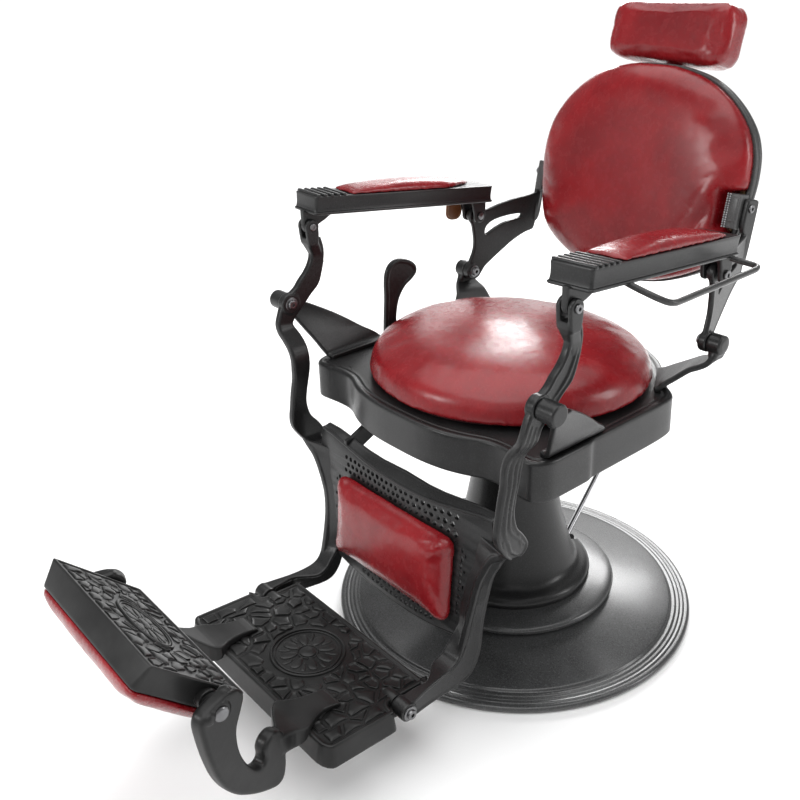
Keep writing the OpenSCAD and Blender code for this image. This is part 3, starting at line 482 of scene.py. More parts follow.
# ================================================================== BASE
def base():
    prof = [(40, 42), (186, 42), (190, 41.6), (230, 35), (270, 28.5), (300, 23), (309, 21), (311.5, 20.2), (312.6, 18.4), (314, 16.6), (316.5, 16), (320, 16.6), (322.3, 16.4), (323.6, 15.2), (325.5, 14.9),
            (328.4, 15.5), (330.2, 15.2), (331.4, 14.2), (333, 14.1), (335.6, 14.9), (337.4, 14.7), (338.4, 13.6), (340.4, 13.5), (344, 14.1), (347.2, 13.2), (349.2, 11.4), (350, 9), (349.9, 7), (349.2, 5.2), (347.6, 4.2),
            (345, 4), (318, 4), (311, 8), (186, 32), (40, 32)]
    merge('base_disc', [lathe(prof, 256, closed=True)], M_base, body='base', rep='base_plate', sharp=60)
    fl = [(140, 42.3), (191.5, 42.3), (193, 43.2), (195, 45), (197.5, 46.6), (199.5, 48.6), (200.4, 51.5), (200.4, 54.5), (199.4, 57), (197.5, 59), (194.5, 60.6), (190, 62), (180, 64), (168, 65.8), (158, 67.2), (151, 67.5), (150.6, 62), (140, 60)]
    merge('cover_foot', [lathe(fl, 192, closed=True)], M_base, body='base', rep='cover_flange', sharp=60)
    out = [(139.5, 60.4), (150, 60.4), (150.2, 66.5), (152.2, 69.6), (153.4, 73), (153.4, 77), (152.3, 81), (149.5, 84.6), (145.3, 87.7), (140, 90.2), (134.4, 92.6), (129.6, 95.4), (126, 99), (123.2, 103.8), (120.6, 110), (117, 120), (112.5, 134), (108, 150),
           (101, 176), (94, 206), (88.5, 232), (82.8, 262), (78.3, 300), (75.3, 340), (73.6, 380), (73, 412), (72.6, 418), (71.4, 422), (69, 424), (44, 424), (41, 423), (39, 421), (38.5, 418.5), (66, 417.5),
           (67.5, 380), (69.2, 340), (72, 300), (76.5, 262), (82.5, 232), (88, 206), (95, 176), (102, 150), (111, 120), (116, 102), (122, 92), (132, 86), (142, 82), (146, 76), (144, 68), (139.5, 66)]
    ob = merge('column_cover', [lathe(out, 192, closed=True)], M_cast, body='base', rep='pump_cover', sharp=60)
    sl = [(45 + 8.5*math.cos(a), 0) for a in (0,)]
    o = []
    for cz, a0 in ((158, 0), (72, 180)):
        o += [(45 + 9*math.cos(math.radians(a0 + 180*k/12)), cz + 9*math.sin(math.radians(a0 + 180*k/12))) for k in range(13)]
    cut = loft([[(x, 88, z) for x, z in o], [(x, 172, z) for x, z in o]])
    sub(ob, [cut])
base()

# ================================================================== SHARED SHAPES
FZ = 504.5
def ribbon(A, B, t, rim=0.0, dip=0.0, r=1.8, n=5, flip=1, off=0.0, back=True):
    """A curved strip between two edge lines; t thick, measured from off along the face normal."""
    P = cr([tuple(a) + tuple(b) for a, b in zip(A, B)], n, closed=False); m = len(P)
    a = [Vector(p[:3]) for p in P]; b = [Vector(p[3:6]) for p in P]; rings = []
    for i in range(m):
        lo, hi = max(i - 1, 0), min(i + 1, m - 1)
        tan = ((a[hi] + b[hi]) - (a[lo] + b[lo])).normalized(); w = b[i] - a[i]; L = w.length; w = w / L
        nn = w.cross(tan).normalized() * flip
        rr = min(r, t*0.45, L*0.2)
        top = [(rim, 0), (rim + 1.4, dip), (L - rim - 1.4, dip), (L - rim, 0)] if rim else [(L*0.3, 0), (L*0.45, 0), (L*0.55, 0), (L*0.7, 0)]
        low = [(L - rim, t), (L - rim - 1.4, t - dip), (rim + 1.4, t - dip), (rim, t)] if rim and back else [(L*0.7, t), (L*0.55, t), (L*0.45, t), (L*0.3, t)]
        ring = [(rr, 0)] + top + [(L - rr, 0), (L - 0.3*rr, 0.3*rr), (L, rr), (L, t - rr), (L - 0.3*rr, t - 0.3*rr), (L - rr, t)] + low + [(rr, t), (0.3*rr, t - 0.3*rr), (0, t - rr), (0, rr), (0.3*rr, 0.3*rr)]
        rings.append([tuple(a[i] + w*u + nn*(v + off)) for u, v in ring])
    return loft(rings)
def rr(cx, cy, hx, hy, r, z, n=3):
    """Rounded rectangle ring in a level plane."""
    r = min(r, hx*0.95, hy*0.95); o = []
    for sx, sy, a0 in ((1, 1, 0), (-1, 1, 90), (-1, -1, 180), (1, -1, 270)):
        o += [(cx + sx*(hx - r) + r*math.cos(math.radians(a0 + 90*k/n)), cy + sy*(hy - r) + r*math.sin(math.radians(a0 + 90*k/n)), z) for k in range(n + 1)]
    return o
def disc(x0, x1, at, r, bev=1.6, seg=56):
    return rbar(x0, x1, at, r, bev, seg)
def bore(ob, x0, x1, at, r, M=None, seg=48):
    c = lathe([(0, 0), (r, 0), (r, abs(x1 - x0)), (0, abs(x1 - x0))], seg, T(min(x0, x1), at[0], at[1]) @ R('Y', 90))
    if M is not None: c = xf(c, M)
    return sub(ob, [c])
def ob_s(name, parts, mat, s, **kw):
    """One casting of a left/right pair: parts are written for +X."""
    return merge(name + ('_left' if s > 0 else '_right'), [xf(p, side(s)) for p in parts], mat, **kw)
def flatslab(pts, x0, x1, n=3, r=1.8, rim=0, dip=0, step=3.0, holes=(), both_sides=True, keep=False, lean=None):
    """Plate across X from an outline in [y, z]."""
    t = x1 - x0
    prof = cast_profile(t, r, rim, dip, both_sides)
    o = cr(pts, n) if n > 1 else list(pts)
    return slab(o, prof, holes=[cr(h, 3) for h in holes], hole_profile=[(0, -t/2), (0, t/2)] if not rim else None, to3=yz((x0 + x1)/2, lean), step=step, keep=keep)

# ================================================================== SEAT FRAME, BRACKETS
frame_half = [(0, -284), (50, -283), (100, -276), (140, -263), (163, -252), (184, -246), (215, -246), (250, -250), (264, -250),
              (274, -245), (280, -237), (284.5, -228), (286.8, -216), (287.4, -176), (287.4, -139), (286.6, -131), (283.6, -126), (284, -100), (284, 0), (283, 50), (279.5, 82), (273, 95), (262, 105), (250, 113), (240, 124),
              (215, 152), (180, 190), (140, 218), (90, 242), (45, 253), (0, 257)]
def seat_frame():
    o = both(cr(frame_half, 3, closed=False))
    prof = [(11, -8.4), (11, -24), (10.4, -58), (10, -66.4), (8.8, -67.7), (7, -68), (2.4, -68), (0.9, -67.4), (0.2, -66), (0, -63.5), (0.3, -40), (0.6, -10), (0.4, -5.5), (0.7, -3.4), (1.6, -1.6), (3.2, -0.5), (5.4, 0),
            (8, -0.1), (10.5, -0.8), (12.6, -1.8), (14.8, -2.1), (16.6, -1.7), (18, -1.1), (19.4, -1.3), (21, -1.5), (27, -1.5)]
    merge('seat_frame_cast', [slab(o, [(d, FZ + h) for d, h in prof], step=5.0, blur=0.2)], M_cast, body='seat', rep='seat_frame', sharp=50)
def front_bracket(s):
    F = [(258, -220, 507), (266, -221, 507.2), (274, -223, 510), (281, -229, 521), (291, -238, 540), (306, -252, 566), (321, -265, 592), (330, -271, 608)]
    B = [(256, -90, 507), (265, -90, 507.2), (275, -92, 510), (284, -103, 521), (292, -128, 538), (299, -157, 560), (308, -191, 583), (319, -228, 605)]
    parts = [ribbon(F, B, 9, r=2.2, off=-4.5), disc(311.2, 344, knee, 17, 2.4)]
    parts.append(loft([rr(327, -265, 5, 14, 4, 596), rr(328, -269, 9, 14, 5, 606), rr(328, -274, 13, 13, 6, 616)]))
    ob = ob_s('knee_bracket', parts, M_cast, s); fused(ob, 1.6, 3)
    parts = [disc(343.5, 345.3, knee, 12.5, 0.8)]
    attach(ob, 'seat'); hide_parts('front_bracket_' + ('left' if s > 0 else 'right'))
def rear_bracket(s):
    F = [(247, 77, 507), (252, 82, 510), (257, 88, 517), (268, 102, 528), (280, 119, 540), (292, 130, 546), (301, 139, 553), (304, 149, 567), (303, 152, 578)]
    B = [(199, 156, 507), (210, 162, 510), (223, 171, 517), (245, 181, 529), (266, 187, 541), (284, 188, 548), (298, 187, 556), (304, 184, 565), (303, 180, 576)]
    parts = [ribbon(F, B, 10, r=2.6, off=-5), disc(289.8, 315, hip, 17, 2.6), disc(314, 316, hip, 11, 0.8)]
    parts.append(loft([rr(302, 163, 7, 16, 5, 556), rr(302, 165, 9, 15, 5, 566), rr(302, 165, 11, 13, 5, 578)]))
    ob = ob_s('hip_bracket', parts, M_cast, s); fused(ob, 1.6, 3)
    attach(ob, 'seat'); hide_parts('rear_bracket_' + ('left' if s > 0 else 'right'))
def seat_pins():
    parts = []
    for s in (1, -1):
        parts += [xf(disc(295, 339, knee, 8, 1), side(s)), xf(lathe([(0, 0), (11.5, 0), (12.6, 0.5), (12.6, 1.5), (11.6, 2.0), (0, 2.0)], 48, T(295.9, *knee) @ R('Y', -90)), side(s)),
                  xf(hexhead(8.6, 5.2, T(294.2, *knee) @ R('Y', -90)), side(s)),
                  xf(disc(272.5, 311, hip, 8, 1), side(s)), xf(lathe([(0, 0), (11, 0), (12.2, 0.5), (12.2, 1.4), (11.4, 1.8), (0, 1.8)], 48, T(273.3, *hip) @ R('Y', -90)), side(s)),
                  xf(hexhead(9.0, 5.6, T(271.6, *hip) @ R('Y', -90)), side(s))]
    merge('pivot_screws', parts, M_bolt, body='seat', rep='pivot_pins')
seat_frame()
for s in (1, -1): front_bracket(s); rear_bracket(s)
seat_pins()

# ================================================================== RECLINE LEVER, PEDAL
def lever():
    pts = [(-62, 462), (-48, 454), (-34, 462), (-32, 490), (-37, 525), (-32, 556), (-24, 574), (-10, 590), (8, 600), (20, 612), (18, 627), (2, 640), (-22, 648), (-42, 645), (-55, 632), (-61, 610), (-62, 575), (-66, 530), (-68, 490)]
    p = flatslab(pts, -298, -287.5, n=5, r=3.4, rim=3.2, dip=1.3)
    parts = [p, disc(-301, -286, (-48, 470), 13, 1.8), disc(-296, -123, (-48, 470), 8, 1)]
    ob = merge('recline_lever_cast', parts, M_cast); fused(ob, 1.3, 2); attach(ob, 'handle'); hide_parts('recline_lever')
def pedal():
    M = T(45, 88, 73)
    rod = lathe([(0, 0), (5.5, 0), (5.5, 236), (6.2, 244), (7.6, 252), (7.6, 262), (0, 262)], 40, M @ R('X', -40))
    hub = lathe([(0, -10.5), (8.6, -10.5), (9.5, -9.6), (9.5, 9.6), (8.6, 10.5), (0, 10.5)], 48, M @ R('Y', 90))
    bar = lathe([(0, 0), (5.2, 0), (6, 0.8), (6, 91.2), (5.2, 92), (0, 92)], 40, M @ T(-46, 168.4, 200.7) @ R('Y', 90))
    ob = merge('pump_lever_chrome', [rod, hub, bar], M_chrome, body='pedal', rep='pump_lever')
    bore(ob, 30, 60, (88, 73), 4.05)
    parts = []
    for x0 in (2, 54):
        prof = [(6.02, 0), (11, 0), (12, 1)]
        for k in range(8): prof += [(12, 2 + 4*k), (12, 4.2 + 4*k), (11, 4.8 + 4*k), (11, 5.4 + 4*k)]
        prof = [p for p in prof if p[1] <= 33] + [(12, 33), (11, 34), (6.02, 34)]
        parts.append(lathe(prof, 40, T(x0, 256.4, 273.7) @ R('Y', 90), closed=True))
    merge('pedal_grips', parts, M_rubber, body='pedal', rep='pedal_rubber')
lever(); pedal()

# ================================================================== LEG REST
def ridge(pts, x, r, n=4, flat=0.7):
    """A low rounded rib along points in [y, z] on a face at x, tapering out at both ends."""
    P = cr([(y, z) for y, z in pts], n, closed=False); m = len(P)
    rad = [r*min(1.0, 0.35 + 2.2*min(i, m - 1 - i)/m) for i in range(m)]
    return tube([(x, y, z) for y, z in P], rad, 12)
# limb of the casting: [front (y, z), rear (y, z), outer x], from the fork past the knee to the foot of the crank
limb = [((-227, 728), (-199, 728), 310.5), ((-223, 703), (-194, 706), 310.5), ((-227, 686), (-196, 684), 310.5), ((-238, 670), (-203, 660), 310.5), ((-252, 657), (-212, 641), 310.5),
        ((-263, 645), (-230, 626), 310.5), ((-281, 633), (-246, 611), 310.5), ((-296, 617), (-262, 597), 310.5), ((-304, 600), (-272, 587), 310.5), ((-309, 584), (-276, 577), 309.6),
        ((-309, 568), (-273, 565), 304), ((-306, 553), (-269, 551), 293), ((-305, 538), (-268, 538), 281.5), ((-305.5, 523), (-269, 523), 275), ((-307, 506), (-271, 506), 273),
        ((-308, 487), (-275, 487), 273), ((-314, 460), (-282, 460), 273), ((-318, 436), (-285, 436), 273), ((-322, 411), (-279, 409), 273), ((-319, 392), (-264, 389), 273),
        ((-309, 374), (-253, 369), 272), ((-299, 360), (-256, 355), 270), ((-290, 352), (-264, 348), 268)]
def leg_side(s):
    Fe = [(x, f[0], f[1]) for f, b, x in limb]; Be = [(x, b[0], b[1]) for f, b, x in limb]
    parts = [ribbon(Fe, Be, 14, rim=5.0, dip=2.0, r=3.2, n=5, back=False), disc(294.8, 311.2, knee, 19.5, 2.0)]
    def on_limb(i0, i1, f, drop, r, tail=()):
        P = [tuple(Fe[i][k] + (Be[i][k] - Fe[i][k])*f - (drop if k == 0 else 0) for k in range(3)) for i in range(i0, i1)] + list(tail)
        P = cr(P, 4, closed=False); m = len(P)
        return tube(P, [r*min(1.0, 0.3 + 2.6*min(i, m - 1 - i)/m) for i in range(m)], 12)
    parts.append(on_limb(1, 7, 0.64, 1.7, 2.8))
    parts.append(on_limb(8, 20, 0.36, 1.9, 4.0, [(270.5, -291, 370), (269, -274, 356)]))
    parts.append(on_limb(8, 19, 0.64, 1.9, 4.0, [(271.2, -275, 386), (270.8, -262, 371)]))
    # flare and fork for the armrest's tongue
    parts.append(loft([rr(303.5, -206, 6.5, 11, 4, 680), rr(303.5, -210, 7.4, 11.5, 4, 697), rr(303.5, -216, 11, 12, 5, 712), rr(304.4, -219.5, 14.2, 12, 5, 722), rr(304.6, -220, 14.5, 11.6, 5, 731.5)]))
    for a in (290.2, 311.4):
        o = [(arm_f[0] + 13.8*math.cos(math.radians(t)), arm_f[1] + 13.8*math.sin(math.radians(t))) for t in range(-20, 201, 12)]
        o += [(-232.5, 736), (-231, 722), (-228, 716), (-212, 716), (-209, 722), (-207, 736)]
        parts.append(flatslab(o, a, a + 7.6, n=1, r=2.0, step=2.4))
    # the step in to the strap, and the strap down to the foot
    A = [(272.6, -313, 396), (272, -307, 377), (268, -301, 362), (260, -299, 351), (250, -299, 344), (241, -299, 337), (233, -299, 326), (225, -299, 310), (216, -300, 290), (209, -301, 268), (204, -305, 238), (201, -311, 211), (198.5, -321, 174), (198, -329, 150), (198, -341, 137),
         (199, -362, 131.5), (202, -395, 131), (207, -423, 131.5), (213, -448, 131.5)]
    B = [(272.6, -274, 396), (272, -268, 377), (268, -264, 360), (260, -263, 347), (250, -264, 339), (241, -264, 331), (233, -264, 320), (225, -264, 305), (216, -265, 288), (209, -266, 267), (204, -268, 240), (202, -273, 214), (199, -277, 178), (198, -282, 132), (198, -297, 101),
         (198, -321, 87), (201, -369, 90.5), (206, -410, 96), (213, -448, 102)]
    parts.append(ribbon(A, B, 12.5, rim=4.6, dip=1.9, r=2.4, n=5, back=False))
    # front flange of the strap: from its front edge back to the face of the panel
    def pf(z): return -290 + 0.1139*(z - 300) - 2.2
    FA, FB = [], []
    for (x, y, z) in A[2:]:
        w = (36 + max(0, (x - 225))*0.85) if y > -385 else max(12, x - 187.5)
        yy = pf(z) if z > 165 else y + 2
        FA.append((x - 0.5, y, z)); FB.append((x - w, yy if z > 165 else y, z))
    parts.append(ribbon(FA, FB, 6.5, r=2.0, n=4, flip=-1))
    parts.append(disc(185, 214, foot_ax, 16, 2.2))
    ob = ob_s('leg_casting', parts, M_cast, s); fused(ob, 1.35, 2)
    bore(ob, 285, 325, knee, 8.1, side(s))
    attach(ob, 'leg_rest'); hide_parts('leg_side_' + ('left' if s > 0 else 'right'))
for s in (1, -1): leg_side(s)

random.seed(7)
def pebble(cx, cy, rx, ry, rot=None, n=7, wob=0.22):
    a0 = random.random()*6.28 if rot is None else rot; o = []
    for k in range(n):
        a = a0 + 2*math.pi*k/n; q = 1 + random.uniform(-wob, wob)
        o.append((cx + rx*q*math.cos(a), cy + ry*q*math.sin(a)))
    return ccw(cr(ccw(o), 3))
def leg_panel():
    half = [(0, -164), (60, -161), (110, -154), (150, -145), (180, -140), (183.8, -126), (186.8, -89.6), (194.8, -30.2), (214, 26), (222, 44), (226, 56),
            (224, 72), (221, 97), (216, 98), (190, 94), (150, 86), (100, 76), (60, 71), (0, 69)]
    o = both(half); holes = []
    def top(x):
        x = abs(x)
        for (a, u), (b, v) in zip([(0, 69), (60, 71), (100, 76), (150, 86), (190, 94), (224, 98)], [(60, 71), (100, 76), (150, 86), (190, 94), (224, 98), (260, 98)]):
            if x <= b: return u + (v - u)*(x - a)/(b - a)
        return 98
    x = -146.0
    while x < 150:                                     # three rows above the pad; the stones grow towards the sitter's left
        w = max(0, (x + 20)/170); pitch = 12.7 + 5.2*w; sp = min(12.4 + 3.2*w, (min(top(x - 8), top(x + 10)) - 39.2 - 0.035*abs(x))/2.42)
        for j in range(3):
            if x + (pitch*0.5 if j % 2 else 0) > 150: continue
            holes.append(pebble(x + (pitch*0.5 if j % 2 else 0) + random.uniform(-0.5, 0.5), 34.5 + j*sp + 0.035*abs(x) + random.uniform(-0.5, 0.5), pitch*0.35, sp*0.36, wob=0.14, n=6))
        x += pitch
    x = -142.0
    while x < 130:
        for j, h in enumerate((-137, -150)):
            if j and abs(x) > 96: continue
            holes.append(pebble(x + (6.6 if j else 0) + random.uniform(-0.4, 0.4), h + 0.0008*x*x + random.uniform(-0.4, 0.4), 4.8 + random.uniform(-0.5, 0.1), 4.5 + random.uniform(-0.4, 0.1), wob=0.12, n=6))
        x += 13.2
    for sx in (1, -1):
        for k in range(9):
            h = 18 - 14.6*k
            holes.append(pebble(sx*(163.5 - 0.012*abs(h) + random.uniform(-0.8, 0.8)), h, 3.2 + random.uniform(-0.4, 0.5), 4.9 + random.uniform(-0.6, 0.5)))
            if k % 2 == 0: holes.append(pebble(sx*(172.0 - 0.02*abs(h)), h - 7, 2.4, 3.8))
    prof = [(1.6, -4), (0.5, -3.5), (0, -2.4), (0, 1.2), (0.5, 2.4), (1.6, 3)]
    hp = [(0.9, -4), (0, -3.2), (0, 1.0), (0.5, 2.4), (1.5, 3)]
    hp = [(0, -4), (0, 1.9), (-0.22, 2.6), (-0.65, 3)]
    body = slab(o, prof, holes=holes, hole_profile=hp, step=3.4, keep=False)
    plate = xf(body, LEG)
    # rolled top edge with a flange behind it
    xs = [-220 + 440*k/44 for k in range(45)]
    roll = xf(tube([(x, top(x) - 0.6, 0.2) for x in xs], 3.4, 14), LEG)
    fl = xf(ribbon([(x, top(x) - 1, 0.5) for x in xs[::2]], [(x, min(101, top(x) + 20 - 0.07*abs(x)), -13) for x in xs[::2]], 5, r=2.0, n=2, off=-2.5), LEG)
    back = xf(tube([(x, min(100, top(x) + 19.5 - 0.07*abs(x)), -13) for x in xs], 3.2, 12), LEG)
    low = xf(tube([(x, -163.5 + 0.00075*x*x, -1.5) for x in [-176 + 352*k/32 for k in range(33)]], 4.2, 14), LEG)
    arm = slab([(-284, 396), (-281, 366), (-262, 366), (-222, 384), (-203, 391), (-197, 398), (-203, 424), (-210, 431), (-219, 429), (-236, 414), (-270, 398)], cast_profile(9.2, 1.6, 0), step=3, to3=yz(-150),
               holes=[[(-208 + 5.6*math.cos(math.radians(a)) + (0 if 90 < a < 270 else 0), 408 + 13*math.sin(math.radians(a))) for a in range(0, 360, 20)]], hole_profile=[(0, -4.6), (0, 4.6)])
    ob = merge('leg_panel_cast', [plate, roll, fl, back, low], M_cast, body='leg_rest', rep='leg_panel', sharp=40)
    me = merge('lock_arm', [arm], M_black, body='leg_rest')
leg_panel()
def leg_pins():
    parts = []
    for s in (1, -1):
        parts += [xf(disc(160, 215, foot_ax, 6, 0.8), side(s)), xf(lathe([(0, 0), (11.5, 0), (12.4, 0.6), (12.4, 1.6), (11.4, 2.2), (0, 2.2)], 48, T(214, *foot_ax) @ R('Y', 90)), side(s)), xf(hexhead(8.4, 5.4, T(216, *foot_ax) @ R('Y', 90)), side(s))]
    merge('footrest_screws', parts, M_bolt, body='leg_rest', rep='footrest_pins')
    parts = []
    for s in (1, -1):
        parts += [xf(disc(289, 320, arm_f, 4, 0.6), side(s)), xf(hexhead(7, 3.4, T(319, *arm_f) @ R('Y', 90)), side(s)), xf(hexhead(6.4, 2.4, T(290.2, *arm_f) @ R('Y', -90)), side(s))]
    merge('fork_pins', parts, M_bolt, body='leg_rest', rep='arm_pins')
leg_pins()

# ================================================================== FOOTREST
def chaikin(p, n=2):
    for _ in range(n):
        q = []
        for a, b in zip(p, p[1:] + p[:1]):
            q += [(a[0]*0.78 + b[0]*0.22, a[1]*0.78 + b[1]*0.22), (a[0]*0.22 + b[0]*0.78, a[1]*0.22 + b[1]*0.78)]
        p = q
    return p
def clip(poly, n, c):
    """Keeps the side where n.p <= c."""
    out = []
    for a, b in zip(poly, poly[1:] + poly[:1]):
        da, db = n[0]*a[0] + n[1]*a[1] - c, n[0]*b[0] + n[1]*b[1] - c
        if da <= 0: out.append(a)
        if da*db < 0:
            t = da/(da - db); out.append((a[0] + (b[0] - a[0])*t, a[1] + (b[1] - a[1])*t))
    return out
def cells(x0, x1, y0, y1, pitch, seed, stretch=1.0, jit=0.46):
    """Irregular stones: Voronoi cells of jittered rows."""
    rnd = random.Random(seed); pts = []
    ny = max(1, round((y1 - y0)/pitch)); nx = max(1, round((x1 - x0)/(pitch*stretch)))
    for j in range(ny):
        for i in range(nx):
            pts.append((x0 + (i + 0.5 + (0.25 if j % 2 else -0.25) + rnd.uniform(-jit, jit))*(x1 - x0)/nx, y0 + (j + 0.5 + rnd.uniform(-jit, jit))*(y1 - y0)/ny))
    out = []
    for p in pts:
        poly = [(x0, y0), (x1, y0), (x1, y1), (x0, y1)]
        for q in pts:
            if q is p: continue
            n = (q[0] - p[0], q[1] - p[1])
            if n[0]**2 + n[1]**2 > (pitch*3.2*stretch)**2: continue
            poly = clip(poly, n, (q[0]**2 + q[1]**2 - p[0]**2 - p[1]**2)/2)
            if len(poly) < 3: break
        if len(poly) >= 3: out.append((p, ccw(poly)))
    return out
def stone(poly, z, kind, gap=1.9, high=1.9):
    """One cobble as a low dome or a dished stone with a raised lip."""
    c = (sum(q[0] for q in poly)/len(poly), sum(q[1] for q in poly)/len(poly))
    rad = min(math.dist(c, ((a[0] + b[0])/2, (a[1] + b[1])/2)) for a, b in zip(poly, poly[1:] + poly[:1]))
    if rad < gap + 2.2 or abs(area(poly)) < 60: return None
    p = []
    for x, y in poly:
        d = math.dist(c, (x, y)); k = max(0.3, (d - gap)/d); p.append((c[0] + (x - c[0])*k, c[1] + (y - c[1])*k))
    p = resample(chaikin(p, 3), 2.4)
    prof = [(1.0, -0.4), (0.98, 0.35), (0.92, 0.72), (0.8, 0.98), (0.58, 1.16), (0.28, 1.26)] if kind else [(1.0, -0.4), (0.985, 0.6), (0.95, 1.02), (0.9, 1.12), (0.84, 0.98), (0.76, 0.66), (0.6, 0.52), (0.3, 0.56)]
    rings = [[(c[0] + (x - c[0])*k, c[1] + (y - c[1])*k, z + h*high) for x, y in p] for k, h in prof]
    return loft(rings)
def push(poly, cx, cy, rx, ry):
    """Moves the points that fall in an ellipse out to its edge; None if most of the cell is inside."""
    out, inside = [], 0
    pts = resample(list(poly), 3.0)
    for x, y in pts:
        k = math.hypot((x - cx)/rx, (y - cy)/ry)
        if k < 1:
            inside += 1
            if k < 1e-3: return None
            out.append((cx + (x - cx)/k, cy + (y - cy)/k))
        else: out.append((x, y))
    return None if inside > 0.55*len(pts) else out
def ringbar(cx, cy, rx, ry, z, r, n=96):
    P = [(cx + rx*math.cos(2*math.pi*k/n), cy + ry*math.sin(2*math.pi*k/n), z) for k in range(n)]
    return tube(P, r, 12, closed=True)
def petal(cx, cy, a, r0, r1, w, z, h, sy=1.0):
    """Leaf-shaped dome pointing away from the centre."""
    rings = []; n = 20
    for k, zz in ((1.0, -0.3), (0.96, 0.5), (0.8, 0.85), (0.5, 1.0), (0.2, 1.04)):
        ring = []
        for i in range(n):
            t = 2*math.pi*i/n; u = (r0 + r1)/2 + (r1 - r0)/2*math.cos(t)*k; v = w*math.sin(t)*k*(0.62 + 0.38*math.cos(t*0.5)**2)
            ring.append((cx + (u*math.cos(a) - v*math.sin(a)), cy + (u*math.sin(a) + v*math.cos(a))*sy, z + zz*h))
        rings.append(ring)
    return loft(rings)
def rosette(cx, cy, rx, ry, z, h=2.0):
    """Plain eight-leaf rosette inside two rings."""
    parts = [ringbar(cx, cy, rx, ry, z, 2.5), ringbar(cx, cy, rx - 6.5, ry - 6.5*ry/rx, z - 0.4, 1.7)]
    k = ry/rx; R0 = rx - 10
    for i in range(8): parts.append(petal(cx, cy, math.pi/8 + i*math.pi/4, R0*0.34, R0*0.93, R0*0.2, z - 0.6, h, k))
    for i in range(8): parts.append(petal(cx, cy, i*math.pi/4, R0*0.56, R0*0.98, R0*0.1, z - 0.8, h*0.7, k))
    dome = []
    for q, zz in ((1.0, -0.5), (0.97, 0.6), (0.8, 1.15), (0.5, 1.5), (0.2, 1.62)):
        dome.append([(cx + R0*0.27*q*math.cos(2*math.pi*i/36), cy + R0*0.27*q*k*math.sin(2*math.pi*i/36), z - 0.4 + zz*h) for i in range(36)])
    parts.append(loft(dome)); parts.append(ringbar(cx, cy, R0*0.33, R0*0.33*k, z - 0.4, 1.3, 60))
    return parts
def footrest():
    half = [(0, 0), (176, 0), (180.5, -4), (180.5, -74), (183, -80), (190, -83), (200, -84), (204, -88), (204, -188), (201, -195), (190, -204), (180, -209), (168, -211), (0, -211)]
    o = both(half)
    prof = [(8.5, -9), (8.0, -12), (5.5, -32), (4.8, -36.4), (3.6, -37.4), (1.0, -37.4), (0, -36), (0.3, -33), (3.4, -14), (4.6, -5), (5.0, -2.2), (5.8, -0.7), (7.2, 0), (10.2, 0), (11.4, -0.7), (12.2, -2.0), (13.4, -2.3), (16, -2.3)]
    # the skirt leans out from the top plate: shift insets so that the top rim keeps the plate's outline
    wide = both([(0, 4), (180, 4), (184, 2), (185, -2), (185, -73), (187, -77), (192, -79), (205, -80), (209, -84), (210, -90), (210.5, -200), (209, -206), (203, -212), (194, -216.5), (184, -218.5), (169, -219), (0, -219)])
    parts = [slab(wide, prof, step=2.6, blur=0.03)]
    top = xf
    M = FOOT
    z = -2.4; seedcells = []
    for (x0, x1, y0, y1, pitch, sd) in ((-171, 171, -204, -10, 25, 5), (171, 196, -200, -94, 25, 8), (-196, -171, -200, -94, 25, 9)):
        seedcells += cells(x0, x1, y0, y1, pitch, sd, 1.15)
    rnd = random.Random(4); st = []
    for c, poly in seedcells:
        q = push(poly, 0, -104, 69, 69)
        if not q: continue
        g = stone(q, z, rnd.random() < 0.6, gap=rnd.uniform(1.8, 3.2), high=rnd.uniform(2.3, 3.4))
        if g: st.append(g)
    parts += st + rosette(0, -104, 62, 62, z + 1.0, 2.2)
    body = merge('footrest_cast', [xf(p, M) for p in parts], M_black, body='footrest', rep='footrest_plate', sharp=46)
    knuckles = []
    for s in (1, -1):
        kn = loft([rr(168.5, -440, 12.5, 3, 2, 110), rr(168.5, -446, 13.2, 9, 3, 112), rr(168.5, -450, 13.2, 12, 3, 117), rr(168.5, -448, 13.2, 12, 3, 124)])
        knuckles += [xf(disc(156, 182.6, foot_ax, 14, 2.2), side(s))]
    ob = merge('footrest_knuckles', knuckles, M_black)
    bore(ob, 150, 190, foot_ax, 6.08); bore(ob, -190, -150, foot_ax, 6.08)
    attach(ob, 'footrest')
footrest()

